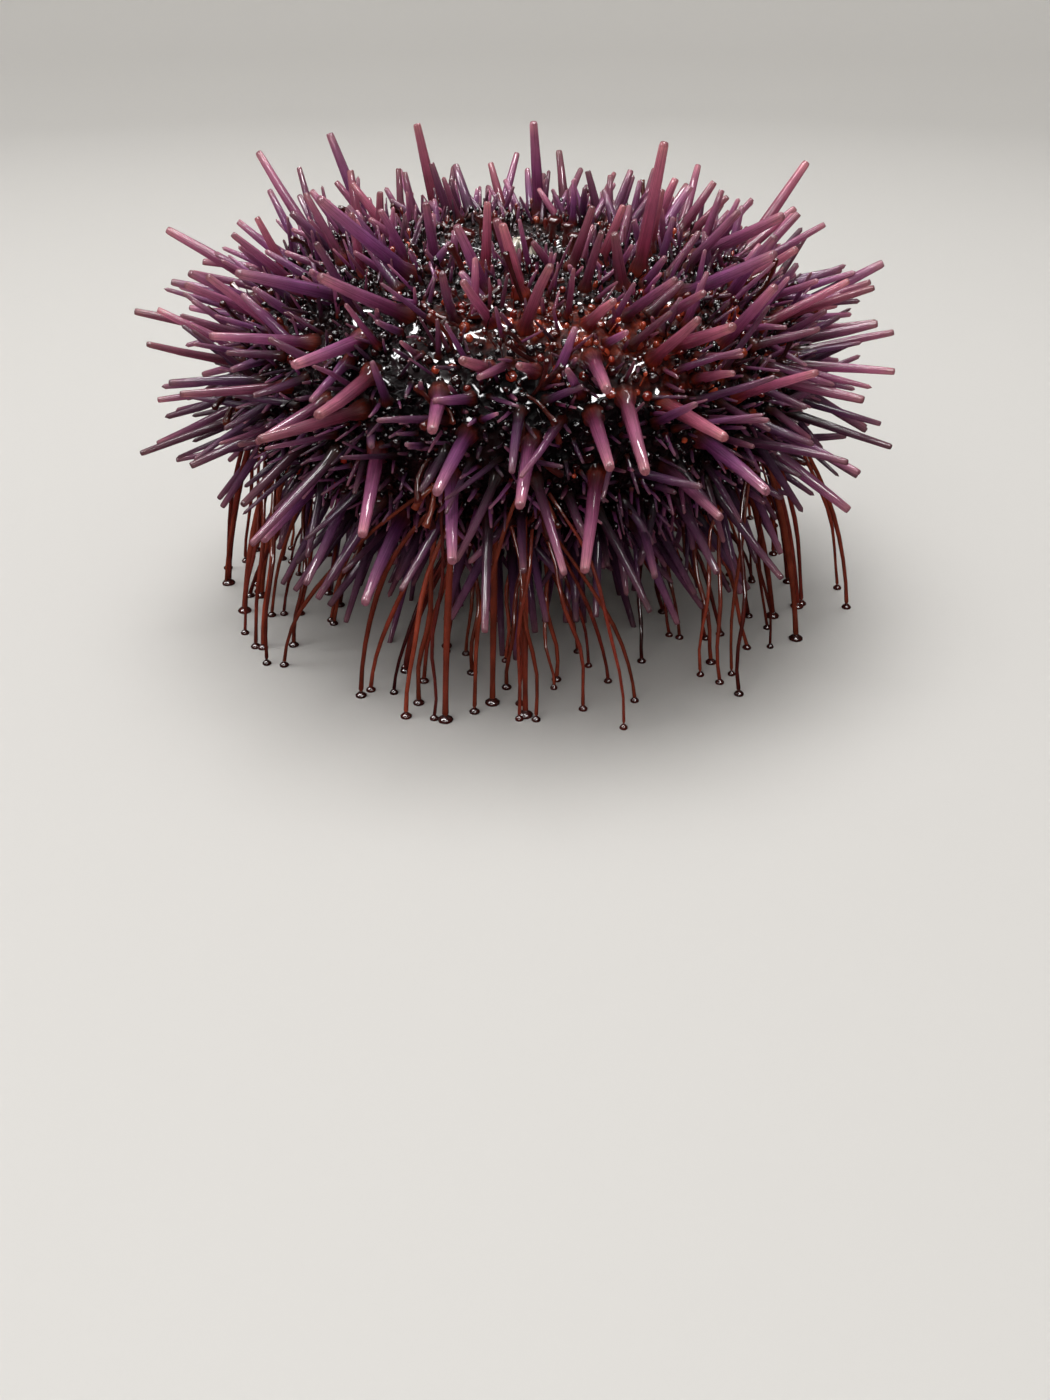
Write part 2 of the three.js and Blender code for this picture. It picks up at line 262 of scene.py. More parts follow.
def layOutMainSpines():
    draw = numberStream(mainSpines["seed"])

    def spread(amount):
        return (draw() * 2 - 1) * amount

    rows = []
    for row, level in enumerate(evenLevels(mainSpines["spacing"])):
        radius = float(outline(level)[0])
        droops = level > mainSpines["droopFrom"]
        droop = -mainSpines["droop"] * math.sin(math.radians(min(level * 2, 180))) if droops else 0
        stagger = mainSpines["stagger"] if row % 2 else -mainSpines["stagger"]
        for sector in sectorPlan():
            width = math.radians(sector["width"]) * radius
            room = width - 2 * mainSpines["seamClearance"]
            count = max(1, math.floor(width / mainSpines["spacing"] + 0.5))
            for index in range(count):
                share = (index + 0.5 + stagger + spread(mainSpines["alongSpread"])) / count - 0.5
                bearing = sector["middle"] + math.degrees(share * room / radius)
                here = level + spread(mainSpines["levelSpread"])
                swing = spread(mainSpines["sway"])
                lift = droop + spread(mainSpines["sway"])
                length = usualLength(level) * (1 + spread(mainSpines["lengthSpread"]))
                girth = mainSpines["radius"] * (1 + spread(mainSpines["radiusSpread"]))
                rows.append((bearing, here, swing, lift, length, girth))
    bold = [(*one, mainSpines["radius"] * mainSpines["boldShare"]) for one in mainSpines["bold"]]
    boldBases = surface([one[1] for one in bold], [one[0] for one in bold])[0]
    rowBases = surface([one[1] for one in rows], [one[0] for one in rows])[0]
    near = np.linalg.norm(rowBases[:, None] - boldBases[None], axis=-1).min(1)
    kept = [one for one, gap in zip(rows, near) if gap > mainSpines["spacing"] * mainSpines["clearOfBold"]]
    table = np.array(bold + kept)
    bases, directions = leaning(table[:, 1], table[:, 0], table[:, 2], table[:, 3])
    return {
        "bearing": table[:, 0],
        "level": table[:, 1],
        "base": bases,
        "direction": directions,
        "length": table[:, 4].copy(),
        "radius": table[:, 5],
        "bold": np.arange(len(table)) < len(bold),
    }


def footCurve(bearing, level, reach, endHeight, bendShare=0.55):
    # the three points that steer a tube foot from the flank down to the floor
    point, away, _, _ = surface(level, bearing)
    turn = math.radians(bearing)
    outward = np.array([math.sin(turn), -math.cos(turn), 0])
    upward = np.array([0, 0, 1.0])
    end = outward * reach + upward * endHeight
    bend = outward * (reach - restingFeet["bendInset"]) + upward * point[2] * bendShare
    return np.array([point - away * mainSpines["root"], bend, end])


def alongCurve(curve, share):
    share = np.asarray(share)[..., None]
    return curve[0] * (1 - share) ** 2 + curve[1] * 2 * share * (1 - share) + curve[2] * share**2


def leanApart(spines, rounds, stations, distance, ease, fixed=None):
    # spines that come too near to one another, or to a foot on the floor, lean apart until they are clear
    steps = np.arange(1, stations + 1) / stations
    lever = np.minimum(1 / steps, mainSpines["leverLimit"])
    bases, lengths = spines["base"], spines["length"]
    directions = spines["direction"].copy()
    near = np.linalg.norm(bases[:, None] - bases[None], axis=-1) <= 2 * mainSpines["flankLength"] + distance
    if fixed is not None:
        near &= ~(fixed[:, None] & fixed[None])
    first, second = np.nonzero(np.triu(near, 1))

    def overlap(apart):
        gap = np.linalg.norm(apart, axis=-1)
        return apart * (np.maximum(distance - gap, 0) / np.maximum(gap, 1e-9))[..., None]

    for _ in range(rounds):
        places = bases[:, None] + directions[:, None] * (lengths[:, None] * steps)[..., None]
        pushes = np.zeros_like(bases)
        closest = np.linalg.norm(places[first][:, :, None] - places[second][:, None], axis=-1).min((1, 2))
        hit = closest < distance
        one, other = first[hit], second[hit]
        away = overlap(places[one][:, :, None] - places[other][:, None])
        np.add.at(pushes, one, mainSpines["push"] * np.einsum("pabc,a->pc", away, lever))
        np.add.at(pushes, other, -mainSpines["push"] * np.einsum("pabc,b->pc", away, lever))
        away = overlap(places[:, :, None] - feetPoints[None, None])
        pushes += mainSpines["footPush"] * np.einsum("nabc,a->nc", away, lever)
        directions = unit(directions * lengths[:, None] + pushes * ease[:, None])
    return directions


def restOnFloor(spines):
    # the lowest spines end at the floor, cut off a little below it so that their ends are flat
    down = spines["direction"][:, 2]
    reached = spines["base"][:, 2] + down * spines["length"]
    lowest = (down < mainSpines["restingSlope"]) & (reached < mainSpines["restingReach"])
    drop = spines["base"][:, 2] - mainSpines["restingLevel"]
    spines["length"] = np.where(lowest, drop / np.maximum(-down, 0.1), spines["length"])


rayBearings = [shell["firstRayBearing"] + ray * 360 / shell["rays"] for ray in range(shell["rays"])]
feetOnFloor = [
    footCurve(middle + bearing, level, reach, restingFeet["discHeight"] / 2)
    for middle in rayBearings
    for level, bearing, reach in zip(restingFeet["levels"], restingFeet["bearings"], restingFeet["reaches"])
]
footSteps = np.arange(1, restingFeet["stations"] + 1) / restingFeet["stations"]
feetPoints = np.concatenate([alongCurve(curve, footSteps) for curve in feetOnFloor])
mains = layOutMainSpines()
mains["direction"] = leanApart(
    mains,
    mainSpines["rounds"],
    mainSpines["stations"],
    mainSpines["distance"],
    np.where(mains["bold"], mainSpines["boldEase"], 1),
)
restOnFloor(mains)
print("laid out", len(mains["length"]), "main spines")


def beside(directions, rolls):
    # two directions square to each given one, turned about it by a roll in degrees
    helper = np.where(np.abs(directions[:, 2:3]) < 0.9, [[0, 0, 1.0]], [[1.0, 0, 0]])
    side = unit(np.cross(helper, directions))
    other = np.cross(directions, side)
    turn = np.radians(rolls)[:, None]
    return side * np.cos(turn) + other * np.sin(turn), other * np.cos(turn) - side * np.sin(turn)


def turnedShape(rings, sides):
    # a shape turned from (radius, height) pairs that start on its axis
    shape = bmesh.new()
    corners = [shape.verts.new((radius, 0, height)) for radius, height in rings]
    edges = [shape.edges.new(pair) for pair in zip(corners, corners[1:])]
    bmesh.ops.spin(
        shape,
        geom=corners + edges,
        cent=(0, 0, 0),
        axis=(0, 0, 1),
        angle=math.tau,
        steps=sides,
        use_merge=True,
    )
    bmesh.ops.remove_doubles(shape, verts=shape.verts, dist=1e-5)
    bmesh.ops.recalc_face_normals(shape, faces=shape.faces)
    return shape


def turnedTemplate(rings, sides):
    # what the copies need of a shape: its points, faces, and where each corner lies round and along it
    shape = turnedShape(rings, sides)
    shape.verts.index_update()
    points = np.array([corner.co[:] for corner in shape.verts])
    faces, wraps = [], []
    for face in shape.faces:
        faces.append([corner.index for corner in face.verts])
        middle = face.calc_center_median()
        facing = math.atan2(middle.y, middle.x)
        for corner in face.verts:
            x, y = corner.co.x, corner.co.y
            lies = math.atan2(y, x) if math.hypot(x, y) > 1e-4 else facing
            wraps.append((facing + (lies - facing + math.pi) % math.tau - math.pi) / math.tau + 0.5)
    shape.free()
    corners = np.array([index for face in faces for index in face])
    sizes = np.array([len(face) for face in faces])
    low, high = points[:, 2].min(), points[:, 2].max()
    along = (points[:, 2] - low) / (high - low)
    strand = np.stack([np.array(wraps), along[corners]], -1)
    return {"points": points, "corners": corners, "sizes": sizes, "along": along, "strand": strand}


def placeStraight(template, spines, rolls, bends=0):
    # copies of a template from each base along its direction, bent a little to one side
    side, other = beside(spines["direction"], rolls)
    x, y, z = template["points"].T
    ringSide = x[None] * spines["radius"][:, None]
    ringOther = y[None] * spines["radius"][:, None]
    forward = z[None] * spines["length"][:, None]
    ringSide = ringSide + np.reshape(bends, (-1, 1)) * spines["length"][:, None] * z[None] ** 2
    places = spines["base"][:, None] + forward[..., None] * spines["direction"][:, None]
    places = places + ringSide[..., None] * side[:, None] + ringOther[..., None] * other[:, None]
    places[..., 2] = np.maximum(places[..., 2], 0)
    return places


def placeAlong(template, curves, radii, sways=None, waves=9):
    # copies of a template drawn out along curves of three points, each with its own sway to one side
    x, y, z = template["points"].T
    places = np.empty((len(curves), len(z), 3))
    for row, (curve, radius) in enumerate(zip(curves, radii)):
        tangent = unit((curve[1] - curve[0]) * (1 - z)[:, None] + (curve[2] - curve[1]) * z[:, None])
        helper = unit(np.cross(curve[2] - curve[0], curve[1] - curve[0]) + 1e-6)
        side = unit(np.cross(tangent, helper))
        other = np.cross(tangent, side)
        places[row] = alongCurve(curve, z) + (side * x[:, None] + other * y[:, None]) * radius
        if sways is not None:
            amount, phase = sways[row]
            places[row] += other * (amount * np.sin(z * waves + phase) * 4 * z * (1 - z))[:, None]
    places[..., 2] = np.maximum(places[..., 2], 0)
    return places


def addPiece(name, mesh, smooth=True):
    mesh.polygons.foreach_set("use_smooth", np.full(len(mesh.polygons), smooth))
    piece = bpy.data.objects.new(name, mesh)
    bpy.context.collection.objects.link(piece)
    return piece


def pieceFrom(name, shape, smooth=True):
    mesh = bpy.data.meshes.new(name)
    shape.to_mesh(mesh)
    shape.free()
    return addPiece(name, mesh, smooth)


def joinCopies(name, template, places, level, bearing, values, patch=0.003):
    # one mesh of all copies, each with a small patch of the bake map at its root's place on the shell
    count, pointCount = places.shape[:2]
    cornerCount, faceCount = len(template["corners"]), len(template["sizes"])
    starts = np.concatenate([[0], np.cumsum(template["sizes"])[:-1]])
    mesh = bpy.data.meshes.new(name)
    mesh.vertices.add(count * pointCount)
    mesh.vertices.foreach_set("co", toScene(places).ravel())
    mesh.loops.add(count * cornerCount)
    shifts = np.arange(count)[:, None]
    mesh.loops.foreach_set("vertex_index", (template["corners"][None] + shifts * pointCount).ravel())
    mesh.polygons.add(count * faceCount)
    mesh.polygons.foreach_set("loop_start", (starts[None] + shifts * cornerCount).ravel())
    mesh.update(calc_edges=True)
    roots = bakePlace(level, bearing)[:, None]
    bakeMap = mesh.uv_layers.new(name="OFBake")
    bakeMap.data.foreach_set("uv", (roots + (template["strand"][None] - 0.5) * patch).ravel())
    strandMap = mesh.uv_layers.new(name="strand")
    strandMap.data.foreach_set("uv", np.tile(template["strand"], (count, 1)).ravel())
    values = {"along": np.tile(template["along"], (count, 1)), **values}
    for key, value in values.items():
        spread = np.broadcast_to(np.reshape(value, (count, -1)), (count, pointCount))
        mesh.attributes.new(key, "FLOAT", "POINT").data.foreach_set("value", spread.ravel())
    mesh.validate()
    print(name, count, "copies,", count * int((template["sizes"] - 2).sum()), "triangles")
    return addPiece(name, mesh)


def paintRootShade(template, tone, shade, clearing=0.88, rise=0.6):
    # a tone for each point with painted shade between the spines, darkest at the roots and nearly clear of
    # the shade at the tips
    return tone[:, None] * (1 - shade[:, None] * (1 - clearing * template["along"] ** rise))


def wear(piece, material):
    piece.data.materials.clear()
    piece.data.materials.append(material)
    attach(piece, "root")


# Materials
def newMaterial(name, **sockets):
    material = bpy.data.materials.new(name)
    material.use_nodes = True
    shader = material.node_tree.nodes["Principled BSDF"]
    for socket, value in sockets.items():
        shader.inputs[socket.replace("_", " ")].default_value = value
    return material, material.node_tree, shader


def wetMaterial(name, roughness, specular, coatWeight, coatRoughness, coatIor=1.4):
    # a dull ground under a film of water
    return newMaterial(
        name,
        Roughness=roughness,
        Specular_IOR_Level=specular,
        Coat_Weight=coatWeight,
        Coat_Roughness=coatRoughness,
        Coat_IOR=coatIor,
    )


def addNode(tree, kind, inputs=(), **settings):
    node = tree.nodes.new(kind)
    for key, value in settings.items():
        setattr(node, key, value)
    for socket, value in dict(inputs).items():
        if isinstance(value, bpy.types.NodeSocket):
            tree.links.new(value, node.inputs[socket])
        else:
            node.inputs[socket].default_value = value
    return node


def colour(screen):
    return (*toLinear(screen), 1)


def addRamp(tree, factor, stops):
    node = addNode(tree, "ShaderNodeValToRGB", {"Fac": factor})
    ramp = node.color_ramp
    while len(ramp.elements) < len(stops):
        ramp.elements.new(1)
    for element, (position, screen) in zip(ramp.elements, stops):
        element.position = position
        element.color = colour(screen)
    return node.outputs["Color"]


def mixColours(tree, factor, first, second, blend="MIX"):
    node = addNode(tree, "ShaderNodeMix", data_type="RGBA", blend_type=blend)
    for socket, value in (("Factor_Float", factor), ("A_Color", first), ("B_Color", second)):
        target = next(one for one in node.inputs if one.identifier == socket)
        if isinstance(value, bpy.types.NodeSocket):
            tree.links.new(value, target)
        else:
            target.default_value = value
    return next(one for one in node.outputs if one.identifier == "Result_Color")


def rescale(tree, value, low, high, newLow, newHigh):
    inputs = {"Value": value, "From Min": low, "From Max": high, "To Min": newLow, "To Max": newHigh}
    return addNode(tree, "ShaderNodeMapRange", inputs).outputs["Result"]


def addNoise(tree, vector, scale, detail=3, roughness=0.55):
    inputs = {"Vector": vector, "Scale": scale, "Detail": detail, "Roughness": roughness}
    return addNode(tree, "ShaderNodeTexNoise", inputs).outputs["Fac"]


def addBump(tree, height, strength, distance, under=None):
    inputs = {"Height": height, "Strength": strength, "Distance": distance}
    if under:
        inputs["Normal"] = under
    return addNode(tree, "ShaderNodeBump", inputs).outputs["Normal"]


def readAttribute(tree, name):
    return addNode(tree, "ShaderNodeAttribute", attribute_name=name).outputs["Fac"]


def objectPlace(tree):
    return addNode(tree, "ShaderNodeTexCoord").outputs["Object"]


def tint(tree, body, shade):
    return mixColours(tree, 1, body, shade, "MULTIPLY")


def multiply(tree, first, second):
    return addNode(tree, "ShaderNodeMath", {0: first, 1: second}, operation="MULTIPLY").outputs["Value"]


def finishShader(tree, shader, body, normal):
    tree.links.new(body, shader.inputs["Base Color"])
    tree.links.new(normal, shader.inputs["Normal"])


spineFinish = {
    "violet": [
        (0, (44, 12, 10)), (0.07, (110, 34, 20)), (0.14, (84, 24, 44)), (0.26, (104, 44, 98)),
        (0.55, (140, 74, 132)), (0.86, (168, 100, 138)), (0.97, (182, 118, 138)), (1, (140, 84, 100)),
    ],
    "rose": [
        (0, (48, 14, 10)), (0.07, (136, 42, 20)), (0.15, (112, 32, 36)), (0.3, (144, 54, 76)),
        (0.6, (170, 84, 108)), (0.88, (186, 103, 121)), (0.97, (197, 121, 128)), (1, (154, 86, 92)),
    ],
    "specular": 0.12,
    "streakStretch": (20, 0.9, 1),
    "streakScale": 1.6,
    "streakTone": (0.56, 1.34),
    "blotchScale": 420,
    "blotchTone": (0.8, 1.16),
    "noiseRange": (0.3, 0.7),
    "ridges": (0.8, 0.00016),  # strength, depth in metres
    "grainScale": 2600,
    "grain": (0.25, 0.00006),
}


def makeSpineMaterial(name, roughness, coatWeight, coatRoughness):
    material, tree, shader = wetMaterial(name, roughness, spineFinish["specular"], coatWeight, coatRoughness)
    along = readAttribute(tree, "along")
    violet, rose = (addRamp(tree, along, spineFinish[key]) for key in ("violet", "rose"))
    body = mixColours(tree, readAttribute(tree, "warmth"), violet, rose)
    strand = addNode(tree, "ShaderNodeUVMap", uv_map="strand").outputs["UV"]
    place = objectPlace(tree)
    stretched = addNode(tree, "ShaderNodeMapping", {"Vector": strand, "Scale": spineFinish["streakStretch"]})
    streaks = addNoise(tree, stretched.outputs["Vector"], spineFinish["streakScale"], 4, 0.6)
    blotches = addNoise(tree, place, spineFinish["blotchScale"])
    for pattern, tones in ((streaks, spineFinish["streakTone"]), (blotches, spineFinish["blotchTone"])):
        body = tint(tree, body, rescale(tree, pattern, *spineFinish["noiseRange"], *tones))
    # the tone attribute holds each spine's own tone together with its painted shade
    body = tint(tree, body, readAttribute(tree, "tone"))
    ridges = addBump(tree, streaks, *spineFinish["ridges"])
    grain = addNoise(tree, place, spineFinish["grainScale"], 2)
    finishShader(tree, shader, body, addBump(tree, grain, *spineFinish["grain"], ridges))
    return material


fleshFinish = {
    "specular": 0.08,
    "noiseRange": (0.35, 0.65),
    "mottleTone": (0.72, 1.25),
    "pitsToMottle": 5,
    "pitStrength": 0.6,
    "stops": [
        (0, (14, 5, 9)), (0.4, (32, 10, 14)), (0.62, (88, 24, 20)), (0.82, (158, 42, 30)), (1, (204, 82, 52)),
    ],
}


def makeFleshMaterial(name, stops, scale, roughness, coatRoughness, pitDepth):
    # soft wet tissue, its colour led by a value that each piece carries
    material, tree, shader = wetMaterial(name, roughness, fleshFinish["specular"], 1, coatRoughness)
    place = objectPlace(tree)
    mottle = addNoise(tree, place, scale, 4)
    body = addRamp(tree, readAttribute(tree, "warmth"), stops)
    body = tint(tree, body, rescale(tree, mottle, *fleshFinish["noiseRange"], *fleshFinish["mottleTone"]))
    body = tint(tree, body, readAttribute(tree, "tone"))
    pits = addNoise(tree, place, scale * fleshFinish["pitsToMottle"], 2)
    finishShader(tree, shader, body, addBump(tree, pits, fleshFinish["pitStrength"], pitDepth))
    return material


# Soft-edged patches of the shell, each a bearing and level, its spread in degrees and its strength:
# where the tissue turns orange-red, where it turns grey, and where the smaller spines stand far apart
warmPlaces = [
    (22, 34, 20, 0.9), (36, 18, 18, 0.8), (6, 44, 13, 0.8), (150, 50, 26, 0.4), (-150, 20, 30, 0.35),
]
greyPlaces = [
    (84, 46, 14, 0.9), (68, 34, 9, 0.6), (-62, 60, 9, 0.7), (-20, 66, 8, 0.6), (176, 30, 14, 0.5),
]
openPlaces = [
    (-38, 42, 30, 0.9), (-12, 26, 24, 0.9), (16, 40, 26, 0.8), (36, 22, 20, 0.6), (160, 48, 24, 0.6),
]


def nearness(places, level, bearing):
    # how much a place on the shell belongs to a list of soft-edged patches
    _, facing, _, _ = surface(level, bearing)
    share = np.zeros(np.shape(level))
    for middleBearing, middleLevel, width, strength in places:
        centre = surface(middleLevel, middleBearing)[1]
        gap = np.degrees(np.arccos(np.clip(facing @ centre, -1, 1)))
        share = np.maximum(share, strength * np.exp(-((gap / width) ** 2)))
    return share


def scatter(shape, triesEach=6):
    # places spread evenly over the shell, clear of one another and of the main spines
    count, gap = shape["count"], shape["gap"]
    random = np.random.default_rng(shape["seed"])
    covered = np.cumsum(fineRadius * np.gradient(fineArc))
    tries = count * triesEach
    level = np.interp(random.random(tries) * covered[-1], covered, fineLevels)
    bearing = random.random(tries) * 360 - 180
    mouthEdge = shell["mouthFieldRadius"] + shell["mouthMargin"]
    apexEdge = shell["apexFieldRadius"] + shell["apexMargin"]
    inside = outline(level)[0] > np.where(level > 0, mouthEdge, apexEdge)
    level, bearing = level[inside], bearing[inside]
    points = surface(level, bearing)[0]
    clear = np.linalg.norm(points[:, None] - mains["base"][None], axis=-1).min(1) > shape["clearOfMains"]
    kept = np.zeros((count, 3))
    chosen = []
    for index in np.nonzero(clear)[0]:
        found = len(chosen)
        if found == count:
            break
        away = kept[:found] - points[index]
        if found == 0 or np.einsum("ij,ij->i", away, away).min() > gap * gap:
            kept[found] = points[index]
            chosen.append(index)
    return level[chosen], bearing[chosen], random


def fade(level, start, end):
    # 0 at one level of the shell, 1 at another
    return np.clip((level - start) / (end - start), 0, 1)


def drawSpread(random, spread, count):
    # values about a middle: spread holds the middle, the deviation, the lowest and the highest
    middle, deviation, low, high = spread
    return np.clip(random.normal(middle, deviation, count), low, high)


def drawWarmth(random, shape, level, bearing):
    # how red each spine is, by chance and by the patch it stands in
    first, second, chance, patch = shape["warmth"]
    drawn = random.beta(first, second, len(level)) * chance
    return np.clip(drawn + nearness(warmPlaces, level, bearing) * patch, 0, 1)


def sprouting(shape, level, bearing, random):
    # small shapes that stand on the skin, each leaning its own way
    count = len(level)
    leans = random.normal(0, shape["sway"], (2, count))
    swing, lift = np.clip(leans, -shape["leanLimit"], shape["leanLimit"])
    base, direction = leaning(level, bearing, swing, lift)
    return {
        "base": base - surface(level, bearing)[1] * shape["sink"],
        "direction": direction,
        "length": random.uniform(*shape["length"], count),
        "radius": random.uniform(*shape["radius"], count),
    }


# Camera, at the photo's place in front of the animal
view = {"right": 0.5, "distance": 124, "height": 59, "lookDown": 31.4, "lens": 32.0}
cameraData = bpy.data.cameras.new("camera")
cameraData.lens = view["lens"]
cameraData.sensor_width = 36
cameraData.clip_start = 0.005
camera = bpy.data.objects.new("camera", cameraData)
camera.location = toScene((view["right"], -view["distance"], view["height"]))
camera.rotation_euler = (math.radians(90 - view["lookDown"]), 0, 0)
bpy.context.collection.objects.link(camera)
bpy.context.scene.camera = camera

# Skin over the whole shell, with a boss under each spine and folds round the mouth
skin = {
    "around": 250,
    "up": 150,
    "depth": 0.55,
    "roughness": 0.12,
    "roughScale": 0.5,
    "bossHeight": 0.6,
    "bossWidth": 1.15,
    "folds": 30,
    "foldHeight": 0.16,
    "foldFade": 2,
    "foldStart": 4,
    "throatRadius": 2.9,
    "throatDepth": 1.8,
    "ground": [(0.3, (8, 3, 6)), (0.5, (20, 7, 11)), (0.72, (40, 12, 14))],
    "warm": [(0.3, (60, 14, 10)), (0.55, (120, 34, 16)), (0.75, (168, 66, 30))],
    "grey": [(0.3, (40, 28, 28)), (0.55, (84, 66, 60)), (0.75, (120, 100, 90))],
    "warmEdge": (0.16, 0.5),
    "greyEdge": (0.2, 0.5),
    "broadScale": 160,
    "fineScale": 1200,
    "cellScale": 1500,
    "cells": (0.9, 0.0003),  # strength, depth in metres
    "creases": (0.7, 0.00024),
}


def makeSkinMaterial():
    material, tree, shader = wetMaterial(
        "wetSkin", roughness=0.5, specular=0.05, coatWeight=1, coatRoughness=0.07
    )
    place = objectPlace(tree)
    broad = addNoise(tree, place, skin["broadScale"], 4)
    fine = addNoise(tree, place, skin["fineScale"], 4)
    ground = addRamp(tree, broad, skin["ground"])
    warm, grey = (addRamp(tree, fine, skin[key]) for key in ("warm", "grey"))
    warmth = rescale(tree, multiply(tree, readAttribute(tree, "warmth"), fine), *skin["warmEdge"], 0, 1)
    greyness = rescale(tree, multiply(tree, readAttribute(tree, "greyness"), broad), *skin["greyEdge"], 0, 1)
    body = mixColours(tree, greyness, mixColours(tree, warmth, ground, warm), grey)
    cells = addNode(tree, "ShaderNodeTexVoronoi", {"Vector": place, "Scale": skin["cellScale"]}, feature="F1")
    grains = addBump(tree, cells.outputs["Distance"], *skin["cells"])
    finishShader(tree, shader, body, addBump(tree, fine, *skin["creases"], grains))
    return material


def makeSkin():
    shape = bmesh.new()
    bmesh.ops.create_uvsphere(shape, u_segments=skin["around"], v_segments=skin["up"], radius=1)
    mesh = bpy.data.meshes.new("skin")
    shape.to_mesh(mesh)
    shape.free()
    ball = np.empty(len(mesh.vertices) * 3)
    mesh.vertices.foreach_get("co", ball)
    ball = ball.reshape(-1, 3)
    level = np.degrees(np.arcsin(np.clip(ball[:, 2], -1, 1)))
    bearing = np.degrees(np.arctan2(ball[:, 0], -ball[:, 1]))
    point, away, _, _ = surface(level, bearing)
    radius = np.hypot(point[:, 0], point[:, 1])
    rough = np.array([noise.fractal(Vector(one * skin["roughScale"]), 1, 2, 4) for one in point])
    near = np.linalg.norm(point[:, None] - mains["base"][None], axis=-1).min(1)
    lift = skin["roughness"] * rough + skin["bossHeight"] * np.exp(-((near / skin["bossWidth"]) ** 2))
    field = np.where(level > 0, np.clip((shell["mouthFieldRadius"] - radius) / skin["foldFade"], 0, 1), 0)
    folds = np.cos(np.radians(bearing) * skin["folds"] + 2 * rough)
    folds = folds * np.clip(radius / skin["foldStart"], 0, 1)
    throat = skin["throatDepth"] * np.exp(-((radius / skin["throatRadius"]) ** 4))
    lift = lift + field * skin["foldHeight"] * folds - np.where(level > 0, throat, 0)
    mesh.vertices.foreach_set("co", toScene(point + away * (lift - skin["depth"])[:, None]).ravel())
    corners = np.empty(len(mesh.loops), int)
    mesh.loops.foreach_get("vertex_index", corners)
    faceOfCorner = np.repeat(np.arange(len(mesh.polygons)), [face.loop_total for face in mesh.polygons])
    height = np.bincount(faceOfCorner, ball[corners, 2]) / np.bincount(faceOfCorner)
    top = height[faceOfCorner] > 0
    bakeMap = mesh.uv_layers.new(name="OFBake")
    bakeMap.data.foreach_set("uv", bakePlace(level[corners], bearing[corners], top).ravel())
    for key, places in (("warmth", warmPlaces), ("greyness", greyPlaces)):
        mesh.attributes.new(key, "FLOAT", "POINT").data.foreach_set("value", nearness(places, level, bearing))
    mesh.update()
    print("skin", len(mesh.polygons), "faces")
    return addPiece("skin", mesh)


skinPiece = makeSkin()
wear(skinPiece, makeSkinMaterial())
rays = range(1, shell["rays"] + 1)
sectorNodes = [f"{kind}_{ray}" for kind in ("ambulacrum", "interambulacrum") for ray in rays]
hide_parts(*sectorNodes, "peristome", "apical_disc")

# Main spines: a fleshy collar, a neck and a tapered shaft with a blunt end
mainShape = {
    "seed": 31,
    "rings": [
        (0, -0.06), (1.8, -0.05), (1.5, 0.05), (0.98, 0.14), (1.05, 0.2),
        (0.84, 0.66), (0.67, 0.975), (0.56, 0.996), (0, 1),
    ],
    "sides": 8,
    "bakePatch": 0.004,
    "bend": 0.05,
    "straightSlope": -0.7,
    "plainShare": 0.82,
    "boldShare": 0.88,
    "warmth": (1.2, 1.2, 1, 0.35),  # the two shapes of the draw, its share, the patches' share
    "tone": (1, 0.26, 0.5, 1.5),
    "boldTone": (1.05, 1.5),
    "boldBrightening": 1.15,
    "lowSide": (6, -34),
    "lowThinning": 0.15,
    # painted shade: the lower side's spines darker all along
    "paintedLowShade": 0.5,
    "lowCooling": 0.8,
    # painted shade at the roots: the levels over which it grows down the shell, its strength on most spines,
    # on a few lighter ones and on the bold ones
    "shadedSide": (14, -10),
    "shade": 0.96,
    "lightShade": 0.6,
    "lightShare": 0.25,
    "boldShade": 0.3,
}


def makeMainSpines(material):
    template = turnedTemplate(mainShape["rings"], mainShape["sides"])
    random = np.random.default_rng(mainShape["seed"])
    level, bearing, bold = mains["level"], mains["bearing"], mains["bold"]
    count = len(level)
    straight = mains["direction"][:, 2] < mainShape["straightSlope"]
    bends = random.normal(0, mainShape["bend"], count) * np.where(straight, 0, 1)
    lowSide = fade(level, *mainShape["lowSide"])
    plainGirth = mainShape["plainShare"] * (1 - mainShape["lowThinning"] * lowSide)
    girth = mains["radius"] * np.where(bold, mainShape["boldShare"], plainGirth)
    places = placeStraight(template, {**mains, "radius": girth}, random.random(count) * 360, bends)
    warmth = drawWarmth(random, mainShape, level, bearing) * (1 - mainShape["lowCooling"] * lowSide)
    # painted shade at the roots, stronger down the shell, weaker on a few spines and on the bold ones
    light = random.random(count) < mainShape["lightShare"]
    shade = np.where(light, mainShape["lightShade"], mainShape["shade"])
    shade = shade * fade(level, *mainShape["shadedSide"])
    shade = np.where(bold, mainShape["boldShade"], shade)
    # each spine's own tone, darkened on the lower side as painted shade
    tone = drawSpread(random, mainShape["tone"], count) * (1 - mainShape["paintedLowShade"] * lowSide)
    tone = np.where(bold, np.clip(tone, *mainShape["boldTone"]) * mainShape["boldBrightening"], tone)
    values = {"warmth": warmth, "tone": paintRootShade(template, tone, shade)}
    piece = joinCopies("mainSpines", template, places, level, bearing, values, mainShape["bakePatch"])
    wear(piece, material)


makeMainSpines(makeSpineMaterial("mainSpineFinish", roughness=0.5, coatWeight=0.6, coatRoughness=0.055))
